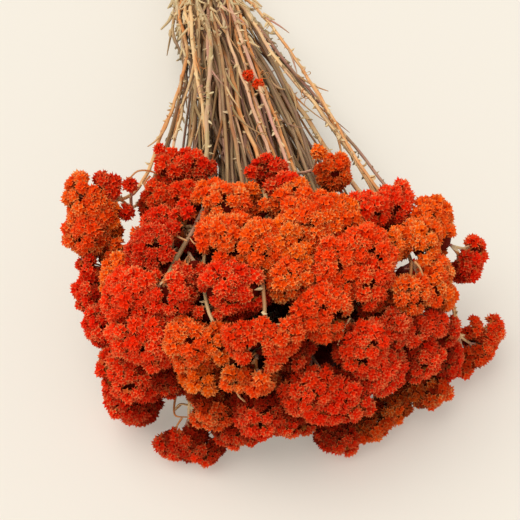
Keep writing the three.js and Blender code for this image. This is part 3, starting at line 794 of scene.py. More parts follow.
# Painted shade: stems, twigs and stalks that lie deep under others darken towards brown
base = nodes.mix(attribute(nodes, "shade") * SHADE_SHARE, base, STEM_SHADE_BROWN)
roughness = fibres * 0.3 + 0.5
set_surface(nodes, shader, base, roughness, fibres, FIBRE_DEPTH)

# The stub of a leaf is a dry narrow strip, curled up into a hook.
leaf_shapes = bpy.data.collections.new("leaf_shapes")
LEAF_RADII = [0.13, 0.17, 0.12, 0.02]
LEAF_RINGS = len(LEAF_RADII)
LEAF_SIDES = 3
for variant, (curl, lean) in enumerate([(1.9, 0.2), (1.2, -0.5), (3.4, 0.4), (0.6, 0.9)]):
    places = [np.zeros(3)]
    for ring in range(1, LEAF_RINGS):
        turn = curl * (ring / LEAF_RINGS) ** 1.5
        step = np.array((math.sin(turn), lean * 0.3, math.cos(turn))) / LEAF_RINGS
        places.append(places[-1] + step)
    corners, faces = closed_tube(np.array(places), LEAF_RADII, LEAF_SIDES)
    mesh = solid_mesh(f"leaf_{variant}", corners, faces, leaf=1)
    leaf_shapes.objects.link(bpy.data.objects.new(mesh.name, mesh))

STALK_STEP = 0.005
SWAY = 0.0026
SWAY_SCALE = 45.0
STEM_SIDES = 12
TWIG_SIDES = 4
LEAF_LEAN = 0.7
LEAF_LEAST = 0.35
ROUND = 6.28

nodes, given = shape_nodes(
    "stems",
    Smoothness="Int",
    Rib_Depth="Float",
    Leaves="Collection",
    Leaf_Spacing="Float",
    Leaf_Length="Float",
    Seed="Int",
    Material="Material",
)
lines = nodes.add("GeometryNodeMeshToCurve", {"Mesh": given["Geometry"]})
lines = nodes.add("GeometryNodeCurveSplineType", {"Curve": lines}, spline_type="CATMULL_ROM")
lines = nodes.add(
    "GeometryNodeSetSplineResolution", {"Geometry": lines, "Resolution": given["Smoothness"]}
)
thick = nodes.add(
    "GeometryNodeSeparateGeometry",
    {"Geometry": lines, "Selection": named(nodes, "main")},
    output="Selection",
    domain="CURVE",
)
stalks = nodes.add("GeometryNodeResampleCurve", {"Curve": thick, "Length": STALK_STEP}, mode="LENGTH")
sway = nodes.add("ShaderNodeTexNoise", {"Scale": SWAY_SCALE, "Detail": 1.0}, output="Color")
sway = nodes.vector("SUBTRACT", sway, (0.5, 0.5, 0.5))
sway = nodes.vector("MULTIPLY", sway, (SWAY, 0.0, SWAY))
stalks = nodes.add("GeometryNodeSetPosition", {"Geometry": stalks, "Offset": sway})
tubes = []
thin = thick["Inverted"]
for curves, sides, rib in ((stalks, STEM_SIDES, given["Rib Depth"]), (thin, TWIG_SIDES, 0.0)):
    travelled = nodes.add("GeometryNodeSplineParameter", output="Length")
    curves = stored(nodes, curves, "along", travelled)
    ring = nodes.add(
        "GeometryNodeCurvePrimitiveCircle", {"Resolution": sides, "Radius": 1.0}, mode="RADIUS"
    )
    number = nodes.add("GeometryNodeInputIndex")
    ring = stored(nodes, ring, "around", number / sides)
    raised = (number.math("MODULO", 2.0) - 0.5) * rib
    place = nodes.vector("MULTIPLY_ADD", *[nodes.add("GeometryNodeInputPosition")] * 3)
    nodes.tree.links.new(raised.socket, place.socket.node.inputs[1])
    ring = nodes.add("GeometryNodeSetPosition", {"Geometry": ring, "Position": place})
    sockets = {
        "Curve": curves,
        "Profile Curve": ring,
        "Scale": named(nodes, "thickness"),
        "Fill Caps": True,
    }
    tube = nodes.add("GeometryNodeCurveToMesh", sockets)
    tubes.append(nodes.add("GeometryNodeSetShadeSmooth", {"Geometry": tube}))
spots = nodes.add(
    "GeometryNodeCurveToPoints", {"Curve": stalks, "Length": given["Leaf Spacing"]}, mode="LENGTH"
)
bare = random_between(nodes, 0.0, 1.0, given["Seed"]).math("GREATER_THAN", named(nodes, "leafy"))
kept = nodes.add("GeometryNodeDeleteGeometry", {"Geometry": spots, "Selection": bare})
side_on = nodes.vector(
    "CROSS_PRODUCT",
    spots["Tangent"],
    random_between(nodes, (-1.0, -1.0, -1.0), (1.0, 1.0, 1.0), given["Seed"] + 1),
)
lean_out = nodes.vector("MULTIPLY_ADD", spots["Tangent"], (LEAF_LEAN,) * 3, side_on)
turned = spun_towards(nodes, lean_out, random_between(nodes, 0.0, ROUND, given["Seed"] + 2))
size = random_between(nodes, LEAF_LEAST, 1.0, given["Seed"] + 3) * given["Leaf Length"]
leaves = planted(nodes, kept, given["Leaves"], turned, size)
end_shape(
    nodes,
    nodes.add("GeometryNodeJoinGeometry", {"Geometry": [*tubes, leaves]}),
    given["Material"],
)
stem_shape = nodes


# What else grows on a stem: side twigs, thin and curved, and curly tendrils
def crossing_place(stem, y):
    """The place where a stem passes y, or None."""
    at = crossing(stem.points, y)
    return at and stem.points[at[0]] * (1 - at[1]) + stem.points[at[0] + 1] * at[1]


TWIG_RADII = np.array((0.62, 0.55, 0.48, 0.4, 0.3, 0.16))
TWIG_LOWEST = 1.2
TENDRIL_TURNS = 2
TENDRIL_STEPS = 18


def twig(foot, way, length, curl, seed):
    """The places of a thin twig that sets off from its foot and bends to one side."""
    side = unit(np.cross(way, (chance(seed) - 0.5, 0.4, chance(seed + 1) - 0.5)))
    steps = np.linspace(0, 1, len(TWIG_RADII))[:, None]
    places = foot + length * (steps * unit(way) + curl * steps**2 * side)
    places[:, 2] = np.maximum(places[:, 2], TWIG_LOWEST)
    return places


def tendril(foot, way, length, radius, seed):
    """The places of a thin tendril that curls round its own way."""
    side = unit(np.cross(way, (chance(seed) - 0.5, chance(seed + 1) - 0.5, 1)))
    over = np.cross(unit(way), side)
    places = []
    for step in np.linspace(0, 1, TENDRIL_STEPS):
        turn = 2 * math.pi * TENDRIL_TURNS * step
        wide = radius * math.sin(math.pi * min(step * 1.3, 1) / 2)
        places.append(
            foot
            + length * step * unit(way)
            + wide * ((math.cos(turn) - 1) * side + math.sin(turn) * over)
        )
    return np.array(places)


# Twigs that the photograph shows clearly, by the spots that they pass: forked snags among the
# heads, stalks in the gaps, and curly bits at the sides.
SNAGS = [
    [(187, 241, -4), (172, 233, -8), (158, 219, -12)],
    [(172, 233, -8), (160, 236, -9), (149, 232, -11)],
    [(206, 236, -4), (196, 244, -6), (190, 238, -9)],
    [(165, 181, 4), (153, 172, 0), (138, 171, -3), (128, 180, -2), (120, 184, 2)],
    [(150, 176, 2), (144, 184, 0), (150, 187, -1), (155, 180, 0)],
    [(176, 395, 0, 24), (174, 408, 0, 22), (176, 416, 0, 22), (187, 417, 0, 22)],
    [(191, 406, 0, 24), (180, 404, 0, 24), (175, 410, 0, 22), (181, 405, 0, 22)],
    [(190, 406, 0, 24), (196, 410, 0, 22), (199, 412, 0, 20)],
    [(182, 418, 0, 22), (178, 424, 0, 20), (175, 430, 0, 18)],
    [(235, 386, -4), (239, 396, -8), (247, 403, -7)],
    [(257, 352, -4), (247, 360, -8), (241, 367, -8)],
    [(240, 232, -5), (252, 238, -10), (262, 236, -8)],
    [(252, 238, -10), (256, 229, -8), (252, 222, -6)],
    [(449, 300, 0, 29), (454, 312, 0, 30), (451, 324, 0, 27)],
    [(459, 337, 0, 25), (455, 344, 0, 22), (454, 352, 0, 18)],
    [(415, 262, -6), (420, 268, -9), (423, 276, -8)],
    [(158, 222, 6), (152, 214, 4), (143, 212, 2)],
    [(350, 318, -1), (342, 332, -3), (338, 345, -2)],
]
SNAG_GROUP = 11

LEAFY_OUTSIDE = 0.95
LEAFY_INSIDE = 0.25
LEAFY_NECK_FROM = 165
LEAFY_NECK_TO = 205
LEAFY_LOWEST = 7  # over the table
TWIGS_TO_A_STEM = 4
TWIGS_FROM_Y = 80
TWIGS_TO_Y = 215
TWIGS_ASIDE = (-0.25, 0.25)
TWIGS_UP = (-0.16, 0.24)
TWIG_LENGTHS = (25, 75)
TWIG_CURLS = (-0.15, 0.35)
TWIG_THICKNESSES = (0.9, 1.7)
TWIG_SHADE = 0.5
OUTER_TWIGS_SHORTER = 0.7
TENDRIL_LENGTHS = (8, 18)
TENDRIL_CURLS = (1.2, 2.8)
TENDRIL_RADII = (0.34, 0.16)
THIN_STALKS_TO_A_STEM = 3
STALK_STRAY = 9
STALK_DROP = 9
STALK_DROPS_OVER = 60
STALK_LOWEST = 1.6
STALKS_ASIDE = (0.35, 0.95)  # of the way from the middle of the bunch to the stem
STALKS_UP = 0.7
STALK_TAPER = (1, 0.7)
STALK_THICKNESSES = (0.7, 1.3)
STALK_SHADES = (0.5, 0.95)
MATTED_TO_A_STEM = 8
MATTED_FROM_Y = 152
MATTED_TO_Y = 226
MATTED_ASIDE = (-0.35, 0.35)
MATTED_UP = (-0.2, 0.2)
MATTED_OUTWARD = 0.3
MATTED_OFF_STEM = (0.5, 2)
MATTED_LENGTHS = (6, 15)
MATTED_CURLS = (-0.6, 0.6)
MATTED_SHADE = 0.3
MATTED_LEAF = 0.9
NEAR_X = 9
SHADE_FROM = 5
SHADE_TO = 20
THINNEST_STEM = 0.56
STEM_VARIES = 0.4
SNAG_RADII = (0.55, 0.32)
SNAG_TONES = (0.3, 0.5)


def bunch_at(y):
    """The places of all the stems where they pass y."""
    return np.array([crossing_place(stem, y) for stem in stems if crossing(stem.points, y)])


def shade_at(place):
    """How deep in the shade of other stems a place is, from 0 to 1."""
    here = bunch_at(place[1])
    if len(here) == 0:
        return 0
    near = here[np.abs(here[:, 0] - place[0]) < NEAR_X]
    over = max(near[:, 2], default=place[2]) - place[2]
    return min(max((over - SHADE_FROM) / (SHADE_TO - SHADE_FROM), 0), 1)


def thin_line(places, radii, tone, shade, leaf=0.0):
    """A thin line without leaf stubs, for line_mesh."""
    return {
        "places": np.array(places),
        "thickness": np.array(radii) / 1000,
        "tone": tone,
        "shade": shade,
        "leaf": leaf,
        "main": 0,
        "leafy": 0,
    }


def side_twigs(stem, seed, from_axis):
    """A curly tendril and some twigs that set off from a stem."""
    for k in range(TWIGS_TO_A_STEM):
        draw = [chance(seed + 31 * k + 7 * n) for n in range(7)]
        foot = crossing_place(stem, between(TWIGS_FROM_Y, TWIGS_TO_Y, draw[0]))
        if foot is None:
            continue
        ahead = unit(stem.points[crossing(stem.points, foot[1] + 1)[0] + 1] - stem.points[1])
        way = ahead + (between(*TWIGS_ASIDE, draw[1]), 0, between(*TWIGS_UP, draw[2]))
        if k == 0:
            length = between(*TENDRIL_LENGTHS, draw[3])
            places = tendril(foot, way, length, between(*TENDRIL_CURLS, draw[4]), seed + k)
            radii = np.linspace(*TENDRIL_RADII, len(places))
        else:
            length = between(*TWIG_LENGTHS, draw[3]) * (1 - OUTER_TWIGS_SHORTER * from_axis)
            places = twig(foot, way, length, between(*TWIG_CURLS, draw[4]), seed + k)
            radii = TWIG_RADII * between(*TWIG_THICKNESSES, draw[5])
        yield thin_line(places, radii, draw[6], TWIG_SHADE * shade_at(foot))


def thin_stalks(stem, seed):
    """Thin stalks under a stem, which run nearer the middle of the bunch and lower, darkened with
    painted shade.
    """
    for k in range(THIN_STALKS_TO_A_STEM):
        draw = [chance(seed + 17 * k + 5 * n) for n in range(4)]
        nearer = np.array((between(*STALKS_ASIDE, draw[0]), 1, STALKS_UP))
        places = []
        for place in stem.points[1:-1]:
            middle = bunch_at(place[1]).mean(axis=0)
            drop = STALK_DROP * draw[1] * min((TIE_Y - place[1]) / STALK_DROPS_OVER, 1)
            stray = STALK_STRAY * (chance(seed + k + place[1]) - 0.5)
            places.append(middle + (place - middle) * nearer + (stray, 0, -drop))
            places[-1][2] = max(places[-1][2], STALK_LOWEST)
        radii = np.linspace(*STALK_TAPER, len(places)) * between(*STALK_THICKNESSES, draw[2])
        yield thin_line(places, radii, draw[3], between(*STALK_SHADES, draw[1]))


def matted_leaves(stem, seed):
    """Withered leaves that mat together on the outside of the bunch at its neck."""
    for k in range(MATTED_TO_A_STEM):
        draw = [chance(seed + 13 * k + 3 * n) for n in range(7)]
        y = between(MATTED_FROM_Y, MATTED_TO_Y, math.sqrt(draw[0]))
        foot = crossing_place(stem, y)
        out = foot - bunch_at(y).mean(axis=0)
        out = unit(out * (1, 0, 1))
        way = (between(*MATTED_ASIDE, draw[1]), -1, between(*MATTED_UP, draw[2]))
        way = MATTED_OUTWARD * out + way
        foot = foot + between(*MATTED_OFF_STEM, draw[6]) * out
        length = between(*MATTED_LENGTHS, draw[3])
        places = twig(foot, way, length, between(*MATTED_CURLS, draw[4]), seed + k)
        radii = TWIG_RADII[::2] * (1 + draw[5])
        shade = MATTED_SHADE * shade_at(foot)
        yield thin_line(places[::2], radii, draw[6], shade, MATTED_LEAF)


for number in range(stems[-1].group.number + 1):
    lines = []
    for stem in stems:
        if stem.group.number != number:
            continue
        seed = stem.head.index + 0.7
        shares = np.linspace(0, 1, len(stem.points))
        from_axis = math.hypot(stem.points[1, 0], stem.points[1, 2] - TIE_OUTER) / TIE_INNER
        at_neck = np.clip(
            (stem.points[:, 1] - LEAFY_NECK_FROM) / (LEAFY_NECK_TO - LEAFY_NECK_FROM), 0, 1
        )
        leafy = between(LEAFY_INSIDE, LEAFY_OUTSIDE, np.maximum(from_axis**2, at_neck))
        leafy[0] = LEAFY_INSIDE
        leafy[stem.points[:, 2] < LEAFY_LOWEST] = 0
        thickness = between(STEM_RADIUS_CUT, STEM_RADIUS_HEAD, shares)
        lines.append(
            {
                "places": stem.points,
                "thickness": thickness * (THINNEST_STEM + STEM_VARIES * chance(seed + 20)) / 1000,
                "tone": chance(seed),
                "shade": np.array([shade_at(place) for place in stem.points]),
                "leaf": 0.0,
                "main": 1,
                "leafy": leafy,
            }
        )
        lines += side_twigs(stem, seed, from_axis)
        lines += thin_stalks(stem, seed)
        lines += matted_leaves(stem, seed)
    if number == SNAG_GROUP:
        for k, spots in enumerate(SNAGS):
            places = [spot(*pixel) for pixel in spots]
            radii = np.linspace(*SNAG_RADII, len(places))
            lines.append(thin_line(places, radii, between(*SNAG_TONES, chance(k)), 0))
    name = f"stems_{number + 1:02d}"
    piece = grown(
        stem_shape,
        f"dried_{name}",
        line_mesh(name, lines),
        Smoothness=4,
        Rib_Depth=0.16,
        Leaves=leaf_shapes,
        Leaf_Spacing=0.0022,
        Leaf_Length=0.0056,
        Seed=number,
        Material=stem_material,
    )
    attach(piece, "root")
    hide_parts(name)

# Flower heads
# A cluster is a dome of round button flowers, each on its own stalk. A button is a small cup of
# dry bracts that holds some twenty florets, each with four pointed lobes. The flowers were
# dyed before they dried. Their tips carry a painted highlight, and painted shade deepens the creases.

FULLNESS = 1.13
TUFT_HEIGHT = 3.4
DOME_RISE = 0.72
DOME_ANGLE = math.radians(112)
GAP = 0.35
GOLDEN_ANGLE = math.pi * (3 - math.sqrt(5))
BUTTON_RADIUS = 3.4
BUTTON_HEIGHT = 2.9
BUTTONS_PER_MM2 = 0.3
HIDDEN_BUTTONS_PER_MM2 = 0.08
SINGLE_BUTTON_SPREAD = 9
SINGLE_BUTTON_NEARER = 10

FLORET_LOBES = 4
FLORET_NOTCH = 0.56
FLORET_POINT = -1.5
LOBE_RISES = (0.8, 1.2)
NOTCH_RISE = 0.35
NOTCH_TIP = 0.55
FLORETS = [(1.0, -0.2, 0.6), (0.86, -0.1, 0.9), (1.1, -0.25, 0.4)]


def floret_mesh(name, open_radius, cup, lobe_rise):
    """One floret of unit size, closed: a star of pointed lobes round a throat, on a point."""
    corners = [(0, 0, cup), (0, 0, FLORET_POINT)]
    tips = [0.0, 0.0]
    for point in range(2 * FLORET_LOBES):
        angle = math.pi * point / FLORET_LOBES
        is_tip = point % 2 == 0
        reach = open_radius * (1 if is_tip else FLORET_NOTCH)
        rise = between(*LOBE_RISES, chance(point + lobe_rise)) if is_tip else NOTCH_RISE
        height = lobe_rise * rise
        corners.append((reach * math.cos(angle), reach * math.sin(angle), height))
        tips.append(1.0 if is_tip else NOTCH_TIP)
    faces = []
    for point in range(2 * FLORET_LOBES):
        here, after = 2 + point, 2 + (point + 1) % (2 * FLORET_LOBES)
        faces += [(0, here, after), (1, after, here)]
    return solid_mesh(name, corners, faces, tip=tips)


floret_shapes = bpy.data.collections.new("floret_shapes")
for variant, sizes in enumerate(FLORETS):
    mesh = floret_mesh(f"floret_{variant}", *sizes)
    floret_shapes.objects.link(bpy.data.objects.new(mesh.name, mesh))

# The cup of bracts under the florets, down to the stalk
CUP_SIDES = 7
CUP_ENDS = np.array([(0, 0, -0.72), (0, 0, 0.05)])
CUP_RADII = [0.2, 0.64]
corners, faces = closed_tube(CUP_ENDS, CUP_RADII, CUP_SIDES)
cup = bpy.data.objects.new("button_cup", solid_mesh("button_cup", corners, faces, bract=1))

FLORET_TILT = 0.3
FLORET_DEPTHS = (0.7, 0.9)
FLORETS_ASTRAY = 0.25
FLORETS_VARY = (0.85, 1.15)

nodes, given = shape_nodes(
    "button",
    Florets="Int",
    Floret_Shapes="Collection",
    Floret_Size="Float",
    Dome_Angle="Float",
    Rise="Float",
    Cup="Object",
    Seed="Int",
    Material="Material",
)
number = nodes.add("GeometryNodeInputIndex")
share = (number + 0.5) / given["Florets"]
polar = (1 - share * (1 - given["Dome Angle"].cosine())).math("ARCCOSINE")
turn = number * GOLDEN_ANGLE + random_between(nodes, -FLORETS_ASTRAY, FLORETS_ASTRAY, given["Seed"])
sine = polar.sine()
outward = nodes.add(
    "ShaderNodeCombineXYZ", {"X": sine * turn.cosine(), "Y": sine * turn.sine(), "Z": polar.cosine()}
)
reach = random_between(nodes, *FLORET_DEPTHS, given["Seed"] + 1)
squash = nodes.add("ShaderNodeCombineXYZ", {"X": reach, "Y": reach, "Z": reach * given["Rise"]})
places = nodes.vector("MULTIPLY", outward, squash)
points = nodes.add("GeometryNodePoints", {"Count": given["Florets"], "Position": places})
tilt = random_between(nodes, (-FLORET_TILT,) * 3, (FLORET_TILT,) * 3, given["Seed"] + 2)
facing = nodes.vector("ADD", outward, tilt)
turned = spun_towards(nodes, facing, random_between(nodes, 0.0, ROUND, given["Seed"] + 3))
size = random_between(nodes, *FLORETS_VARY, given["Seed"] + 4) * given["Floret Size"]
florets = planted(nodes, points, given["Floret Shapes"], turned, size)
florets = stored(
    nodes, florets, "floret_tone", random_between(nodes, 0.0, 1.0, given["Seed"] + 5), "INSTANCE"
)
florets = stored(nodes, florets, "side", share, "INSTANCE")
cup_shape = nodes.add("GeometryNodeObjectInfo", {"Object": given["Cup"]}, output="Geometry")
joined = nodes.add("GeometryNodeJoinGeometry", {"Geometry": [florets, cup_shape]})
end_shape(nodes, joined, given["Material"])
button_shape = nodes

# The shaded florets and stalks inside a cluster fill it, as one rounded core whose colour is painted
# shade.
CORE_SIDES = 11
CORE_ANGLES = [20, 40, 60, 78]
CORE_WAVES = (0.92, 1.08)
corners = [(0, 0, DOME_RISE), (0, 0, 0)]
faces = []
for ring, angle in enumerate(CORE_ANGLES):
    for side in range(CORE_SIDES):
        turn = 2 * math.pi * (side + ring / 2) / CORE_SIDES
        reach = math.sin(math.radians(angle)) * between(*CORE_WAVES, chance(ring + side / 3))
        height = DOME_RISE * math.cos(math.radians(angle))
        corners.append((reach * math.cos(turn), reach * math.sin(turn), height))
        here, after = 2 + ring * CORE_SIDES + side, 2 + ring * CORE_SIDES + (side + 1) % CORE_SIDES
        if ring == 0:
            faces.append((0, here, after))
        else:
            faces.append((here - CORE_SIDES, here, after))
            faces.append((here - CORE_SIDES, after, after - CORE_SIDES))
        if ring == len(CORE_ANGLES) - 1:
            faces.append((1, after, here))
core_mesh = solid_mesh("core", corners, faces)

# The buttons, by how many florets they hold, their size, how far round they go and how high
BUTTONS = [(17, 0.42, 80, 0.8), (16, 0.43, 78, 0.9), (20, 0.43, 104, 0.85), (19, 0.43, 106, 0.95)]
button_shapes = bpy.data.collections.new("button_shapes")
button_shapes.objects.link(bpy.data.objects.new("core", core_mesh))
for variant, (count, size, angle, rise) in enumerate(BUTTONS):
    button = grown(
        button_shape,
        f"button_{variant}",
        bpy.data.meshes.new("button"),
        Florets=count,
        Floret_Shapes=floret_shapes,
        Floret_Size=size,
        Dome_Angle=math.radians(angle),
        Rise=rise,
        Cup=cup,
        Seed=10 * variant,
    )
    bpy.context.scene.collection.objects.unlink(button)
    button_shapes.objects.link(button)

nodes, given = shape_nodes("flower_head", Buttons="Collection", Material="Material")
turned = spun_towards(nodes, named(nodes, "facing", "FLOAT_VECTOR"), named(nodes, "turn"))
size = named(nodes, "size")
variant = named(nodes, "variant", "INT")
buttons = planted(nodes, given["Geometry"], given["Buttons"], turned, size, variant)
end_shape(nodes, buttons, given["Material"])
head_shape = nodes

# For each dye: the painted shade of the creases, the dye's body and bright colours, and the painted
# highlight of the tips
DYES_AND_PAINTED_LIGHT = {
    "orange": ("#a22a02", "#fa4600", "#ff7006", "#ffbe70"),
    "flame": ("#981802", "#f03000", "#fc4602", "#ffa860"),
    "red": ("#8a0e02", "#f02200", "#fc3602", "#ffa464"),
    "dark": ("#6c0a02", "#de2200", "#ec3402", "#ff9a60"),
}
PAINTED_SIDE_HIGHLIGHT = colour("#ffa050")
BRACT = colour("#d8843c")
SHADED = colour("#701402")
DEEP_SHADE = colour("#240802")
SHEEN = 0.05
GRAIN_SIZE = 1400.0
GRAIN_DEPTH = 0.0002
# How strongly painted shade darkens the florets at a button's rim, and how strongly a painted highlight
# pales the outermost
SIDE_SHADE_SHARE = 0.45
SIDE_HIGHLIGHT_SHARE = 0.45
floret_materials = {}
for dye, codes in DYES_AND_PAINTED_LIGHT.items():
    deep, body, bright, pale = (colour(code) for code in codes)
    material, nodes, shader = surface(f"florets_{dye}")
    shader.inputs["Specular IOR Level"].default_value = SHEEN
    tip = attribute(nodes, "tip")
    floret_tone = attribute(nodes, "floret_tone")
    button_tone = attribute(nodes, "button_tone")
    cluster_tone = attribute(nodes, "cluster_tone")
    side = attribute(nodes, "side")
    place = nodes.add("ShaderNodeTexCoord", output="Object")
    grain = nodes.add("ShaderNodeTexNoise", {"Vector": place, "Scale": GRAIN_SIZE, "Detail": 2.0})
    shade = tip * 0.8 + floret_tone * 0.35 + (grain - 0.5) * 0.5
    hue = cluster_tone * 0.6 + button_tone * 0.35 + floret_tone * 0.25
    base = nodes.mix(hue.within(0.15, 0.95), body, bright)
    # Painted shade: the throats of the florets darken towards the deep colour
    base = nodes.mix(shade.within(-0.3, 0.45), deep, base)
    # Painted shade darkens the florets towards a button's rim, where it meets its neighbours, and a
    # painted highlight pales the outermost ones
    base = nodes.mix(side.within(0.3, 1.0) * SIDE_SHADE_SHARE, base, deep)
    base = nodes.mix(side.within(0.85, 1.0) * SIDE_HIGHLIGHT_SHARE, base, PAINTED_SIDE_HIGHLIGHT)
    # Painted highlight: the lobe tips pale, more on some buttons than others
    base = nodes.mix(shade.within(0.55, 1.1) * (button_tone * 0.8 + 0.35), base, pale)
    base = nodes.mix(attribute(nodes, "bract"), base, BRACT)
    # Gloom is painted shade: it darkens the florets towards the shaded colour, and past 1 towards deep
    # shade
    gloom = attribute(nodes, "gloom")
    base = nodes.mix(gloom.within(0, 1), base, SHADED)
    base = nodes.mix(gloom - 1, base, DEEP_SHADE)
    roughness = grain * 0.3 + 0.55
    set_surface(nodes, shader, base, roughness, grain, GRAIN_DEPTH)
    floret_materials[dye] = material

HIGHEST = (cad_box[1][2] - TO_FRAME[2]) * 1000
OVER_TABLE = 1.45 * BUTTON_RADIUS
UNDER_TOP = 1.1 * BUTTON_RADIUS
INTO_NEIGHBOUR = 0.6 * BUTTON_RADIUS


def pressed_planes(cluster):
    """Where a cluster ends at the table, at the top or at a neighbour: the way, and the room."""
    over_table = cluster.middle[2] - OVER_TABLE
    under_top = HIGHEST - UNDER_TOP - cluster.middle[2]
    planes = [(np.array((0, 0, -1)), over_table), (np.array((0, 0, 1)), under_top)]
    for neighbour in all_clusters:
        way = neighbour.middle - cluster.middle
        distance = np.linalg.norm(way)
        spreads = cluster.spread + neighbour.spread
        if neighbour.head is not cluster.head and distance < spreads:
            room = distance * cluster.spread / spreads - GAP / 2
            planes.append((way / distance, room - INTO_NEIGHBOUR))
    return planes


def half_width(cluster):
    return (cluster.spread * cluster.full * FULLNESS + TUFT_HEIGHT) / 2


SHADED_FROM = 0.2
SHADED_TO = 1.5
UPWARDS = np.array((0, 0, 1))
INSIDE_SHARE = 0.6  # of a dome's reach, below which a button of another cluster is left out
STEM_WIDTH_SEEN = 3.4
STEM_DEEPEST_SEEN = 6
OWN_STEM_SHARE = 0.7
PRESSED_UNDER = 3
PRESSED_OVER = 18
cluster_middles = np.array([cluster.middle for cluster in all_clusters])
cluster_reaches = np.array([half_width(cluster) for cluster in all_clusters])
for one in heads:
    for cluster in one.clusters:
        cluster.head = one
for number, cluster in enumerate(all_clusters):
    cluster.number = number

# A few stems lie over the heads and press in between the buttons.
pressing = []
for stem in stems:
    if stem.head.joint_seen:
        for share in np.linspace(0, 1, 40):
            place = between(stem.points[-2], stem.points[-1], share)
            sight = unit(place - EYE)
            if np.linalg.norm(place - EYE) < outline_distance(sight) + STEM_DEEPEST_SEEN:
                pressing.append((stem.head, place))

# Dark gaps between the heads: where the photograph shows them, and their radius in pixels.
GAPS = [
    (206, 256, 8),
    (216, 262, 5),
    (278, 308, 8),
    (346, 316, 8),
    (357, 308, 8),
    (241, 361, 5),
    (312, 353, 7),
]


def distance_to(gap, place):
    """How far a place is from the edge of a gap, sideways to the line of sight."""
    u, v, radius = gap
    off = place - EYE
    along = off @ sight_line(u, v)
    return math.sqrt(off @ off - along * along) - radius * along / FOCAL_PIXELS


def front_of(cluster):
    """The turn of a cluster: its columns are two ways across it, and the way it faces."""
    return np.array(Vector((0, 0, 1)).rotation_difference(Vector(cluster.facing)).to_matrix())


def inside_another(cluster, place):
    """Whether a button lies inside the dome of another cluster of its head."""
    for other in cluster.head.clusters:
        local = (place - other.middle) @ front_of(other) / half_width(other)
        if other is not cluster and np.linalg.norm(local / (1, 1, DOME_RISE)) < INSIDE_SHARE:
            return True
    return False


def in_way(cluster, place):
    """Whether a button lies on a stem in sight, or in one of the dark gaps between the heads."""
    for owner, at in pressing:
        off = place - at
        over = off @ unit(EYE - at)
        aside = math.sqrt(max(off @ off - over * over, 0))
        reach = STEM_WIDTH_SEEN * (OWN_STEM_SHARE if owner is cluster.head else 1)
        if aside < reach and -PRESSED_UNDER < over < PRESSED_OVER:
            return True
    return any(distance_to(gap, place) < 0 for gap in GAPS)


CORE_SHARE = 0.62
CORE_OVER_TABLE = 1
CORE_OFF_STEM = 1.8
LEAST_CORE = 2


def core_size(cluster, place):
    """The size of a core that leaves room for the table, the stems in sight and the gaps."""
    rooms = [CORE_SHARE * half_width(cluster), place[2] - CORE_OVER_TABLE]
    if cluster.away == SEEN_AWAY:
        rooms += [np.linalg.norm(place - at) - CORE_OFF_STEM for _, at in pressing]
        rooms += [distance_to(gap, place) for gap in GAPS]
    return min(rooms)


SINGLE_BUTTON_TURN = 2  # towards the eye
DOME_WAVE = 0.12
BUTTON_NEAREST = 0.88
BUTTONS_STRAY = 0.22
LEAST_ROOM = 0.6
BUTTON_UPRIGHT = 0.3
BUTTON_TILT = 0.3


def button_places(cluster):
    """The places, facings and angles from the top of the buttons of a cluster, in a spiral over
    its dome."""
    if cluster.spread < SINGLE_BUTTON_SPREAD:
        nearer = cluster.middle + SINGLE_BUTTON_NEARER * unit(EYE - cluster.middle)
        facing = unit(cluster.facing + SINGLE_BUTTON_TURN * unit(EYE - nearer))
        return [(nearer, facing, 0)]
    half = half_width(cluster) - BUTTON_HEIGHT
    front = front_of(cluster)
    planes = pressed_planes(cluster)
    found = []
    in_sight = cluster.away == SEEN_AWAY
    count = round((BUTTONS_PER_MM2 if in_sight else HIDDEN_BUTTONS_PER_MM2) * half * half)
    for k in range(count):
        polar = math.acos(1 - (k + 0.5) / count * (1 - math.cos(DOME_ANGLE)))
        turn = k * GOLDEN_ANGLE + cluster.seed
        wave = 1 + DOME_WAVE * math.sin(2 * turn + cluster.seed)
        reach = half * wave * (BUTTON_NEAREST + BUTTONS_STRAY * chance(cluster.seed + k))
        flat = math.sin(polar)
        outward = np.array((flat * math.cos(turn), flat * math.sin(turn), math.cos(polar)))
        place = front @ (outward * (reach, reach, reach * DOME_RISE))
        shares = [room / (way @ place) for way, room in planes if way @ place > room]
        if shares and min(shares) < LEAST_ROOM:
            continue
        place = place * min([1, *shares])
        stray = np.array([chance(cluster.seed + k + axis / 7) - 0.5 for axis in range(3)])
        facing = unit(front @ outward + BUTTON_UPRIGHT * cluster.facing + BUTTON_TILT * stray)
        place = cluster.middle + place
        if not (in_way(cluster, place) or inside_another(cluster, place)):
            found.append((place, facing, polar))
    return found


def in_the_shade(cluster, place, facing):
    """How much of what a button faces is taken up by other clusters, from 0 to 1."""
    ways = cluster_middles - place
    distances = np.linalg.norm(ways, axis=1)
    ahead = np.maximum(ways @ unit(facing + UPWARDS) / distances, 0)
    hidden_share = np.minimum(cluster_reaches / distances, 1) ** 2 * ahead
    hidden_share[cluster.number] = 0
    return min(max((hidden_share.sum() - SHADED_FROM) / (SHADED_TO - SHADED_FROM), 0), 1)


